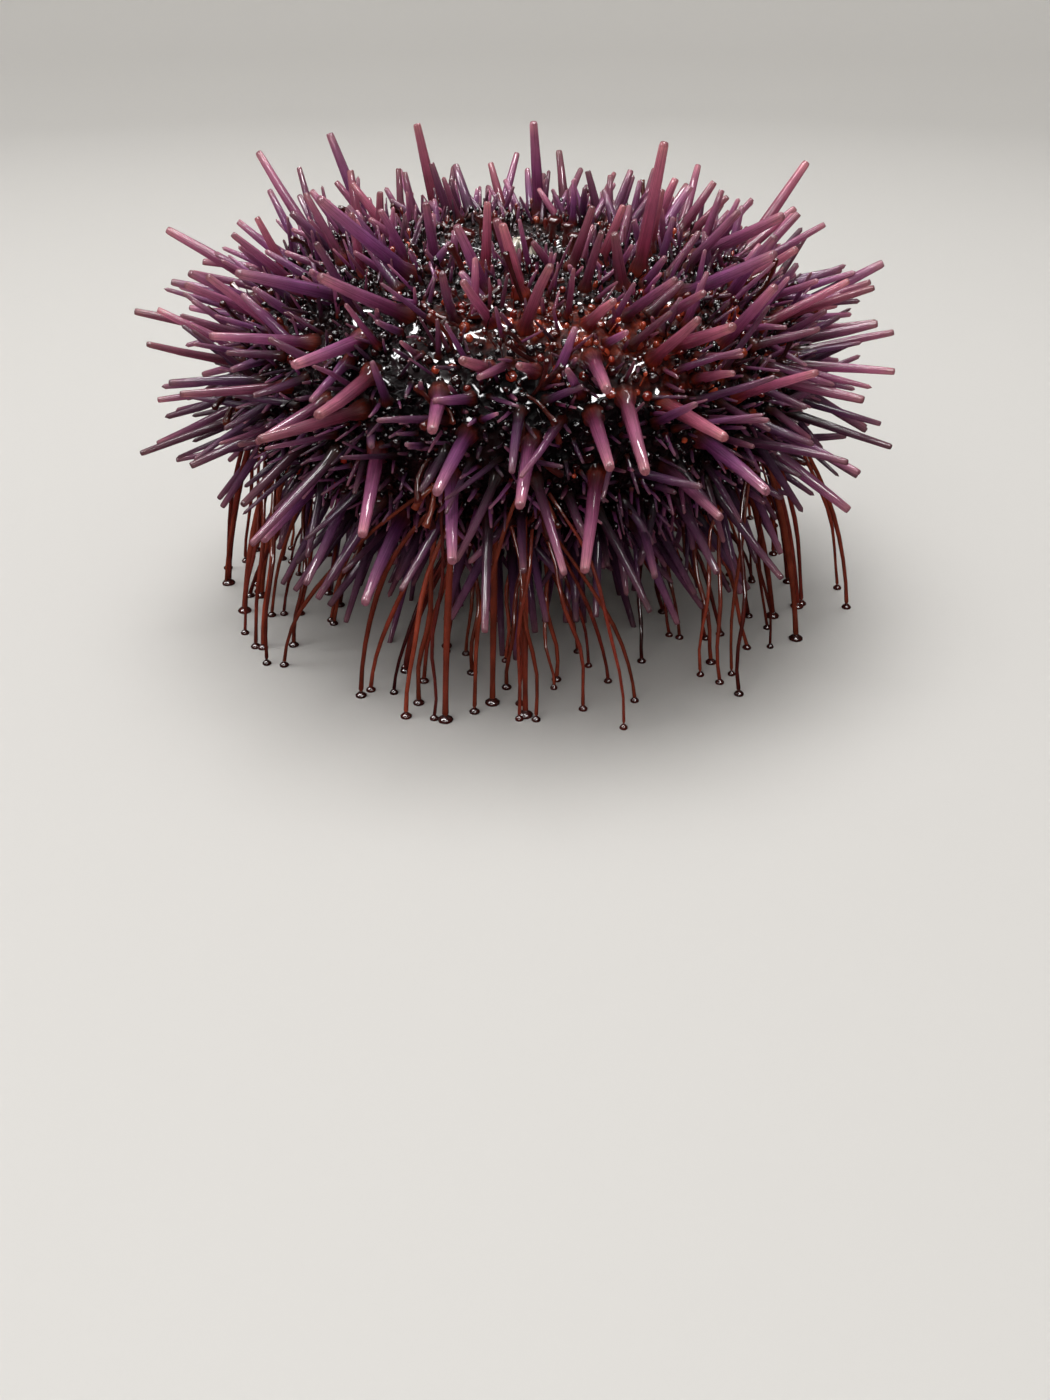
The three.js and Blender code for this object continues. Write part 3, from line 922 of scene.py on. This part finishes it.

# Secondary spines stand between the main ones, thinner and darker: a darker tone of their own, with painted
# shade at the roots and on the lower side
secondary = {
    "seed": 57,
    "rings": [(0, -0.06), (1.7, -0.04), (1.15, 0.08), (1.0, 0.16), (0.85, 0.6), (0.6, 0.96), (0, 1)],
    "sides": 7,
    "count": 860,
    "gap": 1.75,
    "clearOfMains": 1.5,
    "radius": (0.24, 0.46),
    "length": (4.6, 8.8),
    "bend": 0.05,
    "sway": 24,
    "swingLimits": (-40, 40),
    "liftLimits": (-50, 40),
    "rounds": 9,
    "stations": 4,
    "distance": 1,
    "floorGap": 0.3,
    "warmth": (1, 2.4, 0.8, 0.3),
    "tone": (0.8, 0.25, 0.42, 1.4),
    "crown": (20, 50),
    "crownThinning": 0.35,
    "crownShortening": 0.45,
    "crownBrightening": 0.35,
    "lowSide": (10, -10),
    "lowThinning": 0.45,
    # painted shade: the lower side's spines darker all along
    "paintedLowShade": 0.42,
    "openThinning": 0.6,
    "openShortening": 0.4,
    # painted shade at the roots: the levels over which it grows down the shell, and its strength
    "shadedSide": (18, -8),
    "shade": 0.95,
}


def makeSecondarySpines(material):
    template = turnedTemplate(secondary["rings"], secondary["sides"])
    level, bearing, random = scatter(secondary)
    bare = nearness(openPlaces, level, bearing)
    crown = fade(level, *secondary["crown"])
    lowSide = fade(level, *secondary["lowSide"])
    missing = secondary["crownThinning"] * crown + secondary["lowThinning"] * lowSide
    kept = random.random(len(level)) > np.maximum(missing, secondary["openThinning"] * bare)
    level, bearing, crown, lowSide, bare = (one[kept] for one in (level, bearing, crown, lowSide, bare))
    count = len(level)
    droop = -mainSpines["droop"] * np.sin(np.radians(np.minimum(level * 2, 180)))
    droop = np.where(level > mainSpines["droopFrom"], droop, 0)
    swing = np.clip(random.normal(0, secondary["sway"], count), *secondary["swingLimits"])
    lift = np.clip(droop + random.normal(0, secondary["sway"], count), *secondary["liftLimits"])
    base, direction = leaning(level, bearing, swing, lift)
    shortening = np.maximum(secondary["crownShortening"] * crown, secondary["openShortening"] * bare)
    length = random.uniform(*secondary["length"], count) * (1 - shortening)
    own = {"base": base, "direction": direction, "length": length}
    every = {key: np.concatenate([mains[key], value]) for key, value in own.items()}
    settled = np.arange(len(every["length"])) < len(mains["length"])
    ease = np.where(settled, 0, 1)
    moved = leanApart(every, secondary["rounds"], secondary["stations"], secondary["distance"], ease, settled)
    direction = moved[~settled]
    room = (base[:, 2] - secondary["floorGap"]) / np.maximum(-direction[:, 2], 1e-3)
    spines = {
        "base": base,
        "direction": direction,
        "length": np.where(direction[:, 2] < 0, np.minimum(length, room), length),
        "radius": random.uniform(*secondary["radius"], count),
    }
    rolls = random.random(count) * 360
    places = placeStraight(template, spines, rolls, random.normal(0, secondary["bend"], count))
    warmth = drawWarmth(random, secondary, level, bearing)
    # each spine's own tone, with painted shade on the lower side and at the roots
    tone = drawSpread(random, secondary["tone"], count) * (1 - secondary["paintedLowShade"] * lowSide)
    tone = tone * (1 + secondary["crownBrightening"] * crown)
    shade = secondary["shade"] * fade(level, *secondary["shadedSide"])
    values = {"warmth": warmth, "tone": paintRootShade(template, tone, shade)}
    wear(joinCopies("secondarySpines", template, places, level, bearing, values), material)


makeSecondarySpines(
    makeSpineMaterial("secondarySpineFinish", roughness=0.45, coatWeight=0.32, coatRoughness=0.05)
)

# Small spines carpet the skin
small = {
    "seed": 83,
    "rings": [(0, -0.08), (1.5, -0.05), (1.0, 0.12), (0.85, 0.6), (0.55, 0.96), (0, 1)],
    "sides": 5,
    "count": 2700,
    "gap": 1.02,
    "clearOfMains": 1.1,
    "radius": (0.13, 0.24),
    "length": (1.3, 3.6),
    "bend": 0.08,
    "sway": 22,
    "leanLimit": 50,
    "sink": 0.3,
    "openThinning": 0.65,
    "warmth": (1, 2, 0.7, 0.5),
    "tone": (0.62, 0.26, 0.2, 1.3),
    "crown": (20, 50),
    "crownBrightening": 0.4,
}


def makeSmallSpines(material):
    template = turnedTemplate(small["rings"], small["sides"])
    level, bearing, random = scatter(small)
    kept = random.random(len(level)) > small["openThinning"] * nearness(openPlaces, level, bearing)
    level, bearing = level[kept], bearing[kept]
    count = len(level)
    spines = sprouting(small, level, bearing, random)
    rolls = random.random(count) * 360
    places = placeStraight(template, spines, rolls, random.normal(0, small["bend"], count))
    warmth = drawWarmth(random, small, level, bearing)
    crown = fade(level, *small["crown"])
    tone = drawSpread(random, small["tone"], count) * (1 + small["crownBrightening"] * crown)
    values = {"warmth": warmth, "tone": tone}
    wear(joinCopies("smallSpines", template, places, level, bearing, values), material)


makeSmallSpines(makeSpineMaterial("smallSpineFinish", roughness=0.4, coatWeight=0.45, coatRoughness=0.05))

# Wet papillae of the skin, and the stalked pinchers that stand among the spines
papillae = {
    "seed": 101,
    "rings": [(0, -0.4), (0.8, -0.1), (1, 0.3), (0.86, 0.66), (0.5, 0.91), (0, 1)],
    "sides": 7,
    "count": 3500,
    "gap": 0.86,
    "clearOfMains": 1.0,
    "radius": (0.22, 0.56),
    "length": (0.3, 0.8),
    "sway": 20,
    "leanLimit": 55,
    "sink": 0.45,
    "warmShare": 0.45,
    "redShare": 0.3,
}
pinchers = {
    "seed": 131,
    "rings": [(0, -0.1), (0.4, 0), (0.26, 0.3), (0.3, 0.68), (1, 0.8), (0.9, 0.92), (0.3, 1), (0, 0.97)],
    "sides": 6,
    "count": 1900,
    "gap": 1.2,
    "clearOfMains": 1.2,
    "radius": (0.15, 0.28),
    "length": (1.1, 2.6),
    "sway": 24,
    "leanLimit": 55,
    "sink": 0.45,
    "warmShare": 0.5,
    "redShare": 0.2,
}
fleshTints = {
    "redAnywhere": 0.12,
    "redInPatches": 2.2,
    "redWarmth": 0.55,
    "patchWarmth": 0.35,
    "tone": (0.8, 0.25, 0.3, 1.4),
}


def makeBlobs(name, shape, material):
    template = turnedTemplate(shape["rings"], shape["sides"])
    level, bearing, random = scatter(shape)
    count = len(level)
    blobs = sprouting(shape, level, bearing, random)
    places = placeStraight(template, blobs, random.random(count) * 360)
    warm = nearness(warmPlaces, level, bearing)
    chance = shape["redShare"] * (fleshTints["redAnywhere"] + fleshTints["redInPatches"] * warm)
    redness = np.where(random.random(count) < chance, fleshTints["redWarmth"], 0)
    warmth = random.random(count) * shape["warmShare"] + warm * fleshTints["patchWarmth"] + redness
    values = {"warmth": np.clip(warmth, 0, 1), "tone": drawSpread(random, fleshTints["tone"], count)}
    wear(joinCopies(name, template, places, level, bearing, values), material)


fleshMaterial = makeFleshMaterial(
    "wetFlesh", fleshFinish["stops"], scale=700, roughness=0.25, coatRoughness=0.04, pitDepth=0.0001
)
makeBlobs("papillae", papillae, fleshMaterial)
makeBlobs("pinchers", pinchers, fleshMaterial)

# Tube feet that rest on the floor with their discs
feet = {
    "seed": 211,
    "stalkRings": [
        (0, -0.02), (1.3, 0),
        *((1 - 0.12 * math.sin(step), step / 9) for step in range(1, 9)),  # wrinkled a little
        (1, 0.98), (0, 1),
    ],
    "discRings": [(0, 0), (1, 0), (1.06, 0.3), (0.8, 0.62), (0.42, 1), (0, 1.02)],
    "sides": 6,
    "discSides": 10,
    "stops": [(0, (70, 22, 22)), (0.35, (104, 36, 28)), (0.7, (134, 56, 38)), (1, (60, 22, 22))],
    "columns": (-10, -7, 6.5, 10.5),
    "levels": (-62, -54, -46, -38, -30, -22, -14),
    "reaches": (20, 22.5, 25, 27, 29, 30.5, 32),
    "bearingSpread": 1.6,
    "levelSpread": 3,
    "reachSpread": 1.2,
    "bendShare": (0.35, 0.7),
    "endHeight": 0.22,
    "splay": 9,
    "sway": (0.1, 0.55),
    "radius": (0.15, 0.23),
    "restingRadius": 0.3,
    "warmth": (0.45, 0.2, 0, 0.85),
    "tone": (0.95, 0.2, 0.5, 1.4),
    "discRadius": 2.2,
    "discHeight": 0.42,
    "discWarmth": 0.95,
    "discTone": 0.8,
}


def makeFloorFeet(material):
    random = np.random.default_rng(feet["seed"])
    curves = list(feetOnFloor)
    radii = [feet["restingRadius"]] * len(curves)
    level = list(restingFeet["levels"]) * len(rayBearings)
    bearing = [middle + column for middle in rayBearings for column in restingFeet["bearings"]]
    for middle in rayBearings:
        for column in feet["columns"]:
            for here, reach in zip(feet["levels"], feet["reaches"]):
                facing = middle + column + random.normal(0, feet["bearingSpread"])
                rootLevel = here + random.normal(0, feet["levelSpread"])
                out = reach + random.normal(0, feet["reachSpread"])
                bendShare = random.uniform(*feet["bendShare"])
                curve = footCurve(facing, rootLevel, out, feet["endHeight"], bendShare)
                turned = Matrix.Rotation(math.radians(column + random.normal(0, feet["splay"])), 3, "Z")
                curve[1:] = [turned @ Vector(point) for point in curve[1:]]
                curves.append(curve)
                radii.append(random.uniform(*feet["radius"]))
                level.append(rootLevel)
                bearing.append(facing)
    radii, level, bearing = np.array(radii), np.array(level), np.array(bearing)
    count = len(curves)
    thick = np.arange(count) < len(feetOnFloor)
    warmth = drawSpread(random, feet["warmth"], count)
    tone = drawSpread(random, feet["tone"], count)
    stalk = turnedTemplate(feet["stalkRings"], feet["sides"])
    amounts = np.where(thick, 0, random.uniform(*feet["sway"], count))
    sways = np.stack([amounts, random.random(count) * math.tau], -1)
    places = placeAlong(stalk, curves, radii, sways)
    values = {"warmth": warmth, "tone": tone}
    wear(joinCopies("floorFeet", stalk, places, level, bearing, values), material)
    disc = turnedTemplate(feet["discRings"], feet["discSides"])
    ends = np.array([curve[2] for curve in curves])
    ends[:, 2] = 0
    discs = {
        "base": ends,
        "direction": np.tile([0, 0, 1.0], (count, 1)),
        "length": np.where(thick, restingFeet["discHeight"], feet["discHeight"]),
        "radius": radii * feet["discRadius"],
    }
    places = placeStraight(disc, discs, random.random(count) * 360)
    values = {"warmth": np.full(count, feet["discWarmth"]), "tone": tone * feet["discTone"]}
    wear(joinCopies("footDiscs", disc, places, level, bearing, values), material)


# Short tube feet that stand among the spines
shortFeet = {
    "seed": 223,
    "rings": feet["stalkRings"][:8] + [(1.5, 0.9), (1.7, 0.97), (0, 1)],
    "count": 90,
    "columns": (6, 12),
    "levels": (-20, 62),
    "swing": (0, 30),
    "lift": (-20, 30),
    "length": (2.5, 5.5),
    "radius": (0.16, 0.26),
    "sink": 0.5,
    "bend": 0.45,
    "bendPlace": 0.6,
    "warmth": (0.3, 0.2, 0, 0.7),
    "tone": (0.62, 0.18, 0.3, 1),
}


def makeShortFeet(material):
    random = np.random.default_rng(shortFeet["seed"])
    count = shortFeet["count"]
    ray = random.integers(0, shell["rays"], count)
    column = np.where(random.random(count) < 0.5, -1, 1) * random.uniform(*shortFeet["columns"], count)
    bearing = np.array(rayBearings)[ray] + column
    level = random.uniform(*shortFeet["levels"], count)
    swing = random.normal(*shortFeet["swing"], count)
    base, direction = leaning(level, bearing, swing, random.normal(*shortFeet["lift"], count))
    length = random.uniform(*shortFeet["length"], count)[:, None]
    bent = unit(direction + random.normal(0, shortFeet["bend"], (count, 3)))
    inner = base - surface(level, bearing)[1] * shortFeet["sink"]
    middle = inner + direction * (length * shortFeet["bendPlace"])
    curves = np.stack([inner, middle, inner + bent * length], 1)
    stalk = turnedTemplate(shortFeet["rings"], feet["sides"])
    places = placeAlong(stalk, curves, random.uniform(*shortFeet["radius"], count))
    tone = drawSpread(random, shortFeet["tone"], count)
    values = {"warmth": drawSpread(random, shortFeet["warmth"], count), "tone": tone}
    wear(joinCopies("shortFeet", stalk, places, level, bearing, values), material)


footMaterial = makeFleshMaterial(
    "footFinish", feet["stops"], scale=500, roughness=0.3, coatRoughness=0.05, pitDepth=0.00008
)
makeFloorFeet(footMaterial)
makeShortFeet(footMaterial)

# The mouth: lips round the teeth, papillae on the field, and gills at its edge
mouth = {
    "seed": 307,
    "sides": 8,
    "sink": 0.6,
    "sway": 0.15,
    "warmth": (0.42, 0.14, 0, 0.9),
    "tone": (1, 0.2, 0.5, 1.5),
    "lips": 46,
    "lipRadius": (2.75, 0.16),  # a middle and a deviation
    "lipSpread": 2,
    "lipWidth": 0.24,
    "lipHeight": (0.8, 1.3),
    "lipLean": -38,
    "papillae": 420,
    "papillaRadius": (3.1, 9.2),
    "papillaWidth": (0.12, 0.3),
    "papillaHeight": (0.2, 0.6),
    "gillBranches": 16,
    "gillBearing": 17,
    "gillSpread": 3.4,
    "gillRadius": (9.3, 0.45),
    "gillWidth": (0.2, 0.34),
    "gillHeight": (0.9, 1.9),
    "gillLean": (10, 28),
}


def mouthLevel(radius):
    # the level of the top side at which the shell has this radius
    share = np.clip(np.asarray(radius, float) / shell["radius"], 0, 1) ** (shell["mouthSidePower"] / 2)
    return np.degrees(np.arccos(share))


def makeMouthField(material):
    random = np.random.default_rng(mouth["seed"])
    template = turnedTemplate(papillae["rings"], mouth["sides"])
    rows = []  # bearing, radius from the axis, width, height, lean outwards
    for index in range(mouth["lips"]):
        facing = 360 * index / mouth["lips"] + random.normal(0, mouth["lipSpread"])
        radius = random.normal(*mouth["lipRadius"])
        height = random.uniform(*mouth["lipHeight"])
        rows.append((facing, radius, mouth["lipWidth"], height, mouth["lipLean"]))
    for _ in range(mouth["papillae"]):
        radius = random.uniform(*mouth["papillaRadius"])
        facing = random.random() * 360
        width = random.uniform(*mouth["papillaWidth"])
        rows.append((facing, radius, width, random.uniform(*mouth["papillaHeight"]), 0))
    for ray in range(shell["rays"]):
        edge = shell["firstRayBearing"] + (ray + 0.5) * 360 / shell["rays"]
        for side in (-1, 1):
            for _ in range(mouth["gillBranches"]):
                facing = edge + side * mouth["gillBearing"] + random.normal(0, mouth["gillSpread"])
                radius = random.normal(*mouth["gillRadius"])
                width = random.uniform(*mouth["gillWidth"])
                height = random.uniform(*mouth["gillHeight"])
                rows.append((facing, radius, width, height, random.normal(*mouth["gillLean"])))
    bearing, radius, width, height, lean = np.array(rows).T
    level = mouthLevel(radius)
    point, away, around, rise = surface(level, bearing)
    tilt = np.tan(np.radians(lean))[:, None]
    swing = random.normal(0, mouth["sway"], len(rows))[:, None]
    blobs = {
        "base": point - away * mouth["sink"],
        "direction": unit(away - rise * tilt + around * swing),
        "length": height,
        "radius": width,
    }
    places = placeStraight(template, blobs, random.random(len(rows)) * 360)
    warmth = drawSpread(random, mouth["warmth"], len(rows))
    values = {"warmth": warmth, "tone": drawSpread(random, mouth["tone"], len(rows))}
    wear(joinCopies("mouthFringe", template, places, level, bearing, values), material)


# Ten short feet round the mouth, two on each ray
buccal = {
    "seed": 311,
    "rings": [
        (0, -0.1), (1.1, -0.05), (0.9, 0.35), (0.85, 0.7), (1.5, 0.82), (1.75, 0.92), (1.2, 1), (0, 0.96),
    ],
    "sides": 12,
    "fieldRadius": 5.6,
    "bearing": 9,
    "swing": (0, 16),
    "lift": (-8, 14),
    "sink": 0.6,
    "length": (2.0, 2.8),
    "radius": 0.4,
    "warmth": 0.55,
    "tone": (0.9, 1.25),
}


def makeBuccalFeet(material):
    random = np.random.default_rng(buccal["seed"])
    template = turnedTemplate(buccal["rings"], buccal["sides"])
    bearing = np.array([ray + side * buccal["bearing"] for ray in rayBearings for side in (-1, 1)])
    count = len(bearing)
    level = mouthLevel(np.full(count, buccal["fieldRadius"]))
    swing = random.normal(*buccal["swing"], count)
    base, direction = leaning(level, bearing, swing, random.normal(*buccal["lift"], count))
    stems = {
        "base": base - surface(level, bearing)[1] * buccal["sink"],
        "direction": direction,
        "length": random.uniform(*buccal["length"], count),
        "radius": np.full(count, buccal["radius"]),
    }
    places = placeStraight(template, stems, np.zeros(count))
    values = {"warmth": np.full(count, buccal["warmth"]), "tone": random.uniform(*buccal["tone"], count)}
    wear(joinCopies("buccalFeet", template, places, level, bearing, values), material)


mouthMaterial = makeFleshMaterial(
    "mouthFinish", fleshFinish["stops"], scale=900, roughness=0.28, coatRoughness=0.06, pitDepth=0.00008
)
makeMouthField(mouthMaterial)
makeBuccalFeet(mouthMaterial)

# Teeth: five curved chisels that meet over the middle of the mouth
tooth = {
    "outside": 2.3,
    "depth": 2.6,
    "arcRadius": 5.47,
    "arc": 48,
    "width": 1.7,
    "thickness": 0.85,
    "tipWidth": 0.5,
    "tipThickness": 0.3,
    "steps": 10,
    "bevel": 0.1,
    "innerShare": 0.8,
}


def makeTooth(index, material):
    shape = bmesh.new()
    thick, half = tooth["thickness"] / 2, tooth["width"] / 2
    centre = tooth["outside"] - tooth["arcRadius"]
    inner = half * tooth["innerShare"]
    ring = [(-thick, -half), (thick, -inner), (thick, inner), (-thick, half)]
    corners = [shape.verts.new((tooth["outside"] + x, y, 0)) for x, y in ring]
    face = shape.faces.new(corners)
    bmesh.ops.spin(
        shape,
        geom=[face],
        cent=(centre, 0, 0),
        axis=(0, 1, 0),
        angle=-math.radians(tooth["arc"]),
        steps=tooth["steps"],
        use_duplicate=False,
    )
    for corner in shape.verts:
        across = corner.co.x - centre
        share = math.degrees(math.atan2(corner.co.z, across)) / tooth["arc"]
        reach = math.hypot(across, corner.co.z) - tooth["arcRadius"]
        slim = 1 - (1 - tooth["tipThickness"]) * share**2
        scale = (tooth["arcRadius"] + reach * slim) / (tooth["arcRadius"] + reach)
        corner.co.x = centre + across * scale
        corner.co.z *= scale
        corner.co.y *= 1 - (1 - tooth["tipWidth"]) * share
    bmesh.ops.recalc_face_normals(shape, faces=shape.faces)
    bmesh.ops.bevel(
        shape,
        geom=shape.edges[:],
        offset=tooth["bevel"],
        offset_type="OFFSET",
        segments=2,
        profile=0.5,
        affect="EDGES",
        material=-1,
    )
    floor = float(outline(90)[1])
    bearing = shell["firstRayBearing"] + 360 / shell["rays"] * (index + 0.5)
    turned = Matrix.Rotation(math.radians(bearing - 90), 4, "Z")
    lifted = Matrix.Translation(toScene((0, 0, floor - tooth["depth"])))
    bmesh.ops.transform(shape, matrix=lifted @ Matrix.Scale(mm, 4) @ turned, verts=shape.verts)
    piece = pieceFrom(f"tooth{index + 1}", shape)
    wear(piece, material)
    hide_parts(f"tooth_{index + 1}")


def makeToothMaterial():
    material, tree, shader = newMaterial("toothEnamel", Roughness=0.3, Coat_Weight=0.7, Coat_Roughness=0.08)
    grain = addNoise(tree, objectPlace(tree), 1400, 4)
    body = addRamp(tree, grain, [(0.3, (206, 192, 168)), (0.55, (232, 224, 208)), (0.75, (244, 240, 230))])
    finishShader(tree, shader, body, addBump(tree, grain, 0.3, 0.00008))
    return material


toothMaterial = makeToothMaterial()
for toothIndex in range(shell["rays"]):
    makeTooth(toothIndex, toothMaterial)

# Sieve plate beside the apex underneath
sievePlate = {
    "radius": 1.2,
    "sides": 28,
    "offset": 3,
    "thickness": 1.1,
    "inset": 0.35,
    "dome": 0.2,
    "domeFall": 1.4,
    "rings": 5,
    "poreScale": 5200,
    "stops": [(0, (60, 26, 24)), (0.25, (128, 78, 62)), (0.7, (166, 116, 92))],
}


def makeSievePlate():
    shape = bmesh.new()
    radius = sievePlate["radius"] * mm
    bmesh.ops.create_circle(shape, cap_ends=True, segments=sievePlate["sides"], radius=radius)
    made = bmesh.ops.extrude_face_region(shape, geom=shape.faces[:])
    raised = [one for one in made["geom"] if isinstance(one, bmesh.types.BMVert)]
    bmesh.ops.translate(shape, verts=raised, vec=(0, 0, sievePlate["thickness"] * mm))
    for face in [one for one in shape.faces if len(one.verts) > 4 and one.calc_center_median().z < 0.1 * mm]:
        for ring in range(sievePlate["rings"]):
            step = radius / (sievePlate["rings"] + 1)
            drop = sievePlate["dome"] * mm / (ring + 1) ** sievePlate["domeFall"]
            bmesh.ops.inset_region(shape, faces=[face], thickness=step, depth=drop * 0.5)
    bmesh.ops.recalc_face_normals(shape, faces=shape.faces)
    turn = math.radians(shell["firstRayBearing"] + 180 / shell["rays"])
    out = sievePlate["offset"]
    place = (math.sin(turn) * out, -math.cos(turn) * out, float(outline(-90)[1]) - sievePlate["inset"])
    bmesh.ops.translate(shape, verts=shape.verts, vec=Vector(toScene(place)))
    piece = pieceFrom("sievePlate", shape, smooth=False)
    material, tree, shader = newMaterial(
        "sievePlateFinish", Roughness=0.45, Coat_Weight=0.6, Coat_Roughness=0.12
    )
    inputs = {"Vector": objectPlace(tree), "Scale": sievePlate["poreScale"]}
    pores = addNode(tree, "ShaderNodeTexVoronoi", inputs).outputs["Distance"]
    body = addRamp(tree, pores, sievePlate["stops"])
    finishShader(tree, shader, body, addBump(tree, pores, 0.8, 0.0001))
    wear(piece, material)
    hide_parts("madreporite")


makeSievePlate()

# A pale floor that rises all round like a dish
studio = {
    "floor": [(0, 0), (0.42, 0), (0.53, 0.014), (0.61, 0.06), (0.66, 0.14), (0.69, 0.26), (0.7, 0.42)],
    "floorSides": 96,
    "floorColour": (206, 203, 198),
    "aim": (0, 0, 0.02),
    "world": 0.3,
    "lights": [  # name, place in metres, width, depth, watts, whether it is there for the wet gloss alone
        ("ceilingSoft", (-0.08, 0.1, 0.62), 0.5, 0.36, 3.2, False),
        ("frontFill", (-0.25, -0.5, 0.42), 0.36, 0.3, 0.6, False),
        ("backPanel", (0.05, 0.22, 0.5), 0.3, 0.08, 4.5, True),
        ("leftPanel", (-0.34, -0.06, 0.42), 0.1, 0.3, 4.2, True),
        ("topPanel", (-0.06, -0.12, 0.54), 0.34, 0.07, 4, True),
        ("frontPanel", (0.16, -0.3, 0.42), 0.24, 0.06, 3, True),
        ("lowPanel", (-0.12, -0.44, 0.3), 0.3, 0.04, 1.2, True),
    ],
}


def makeFloor():
    shape = turnedShape(studio["floor"], studio["floorSides"])
    if shape.faces[0].normal.z < 0:
        bmesh.ops.reverse_faces(shape, faces=shape.faces)
    piece = pieceFrom("floor", shape)
    material, _, shader = newMaterial("floorPaper", Roughness=0.75)
    shader.inputs["Base Color"].default_value = colour(studio["floorColour"])
    piece.data.materials.append(material)
    piece.visible_glossy = False


def makeLights():
    world = bpy.data.worlds.new("studio")
    world.use_nodes = True
    background = world.node_tree.nodes["Background"]
    background.inputs["Color"].default_value = (1, 1, 1, 1)
    background.inputs["Strength"].default_value = studio["world"]
    world.cycles_visibility.glossy = False
    bpy.context.scene.world = world
    for name, place, width, depth, watts, glossOnly in studio["lights"]:
        light = bpy.data.lights.new(name, "AREA")
        light.shape = "RECTANGLE"
        light.size = width
        light.size_y = depth
        light.energy = watts
        lamp = bpy.data.objects.new(name, light)
        lamp.location = place
        lamp.visible_glossy = glossOnly
        lamp.visible_diffuse = not glossOnly
        lamp.rotation_euler = (Vector(studio["aim"]) - Vector(place)).to_track_quat("-Z", "Y").to_euler()
        bpy.context.collection.objects.link(lamp)


makeFloor()
makeLights()
bpy.context.scene.view_settings.view_transform = "Standard"
print("floor, lights and camera are in place")
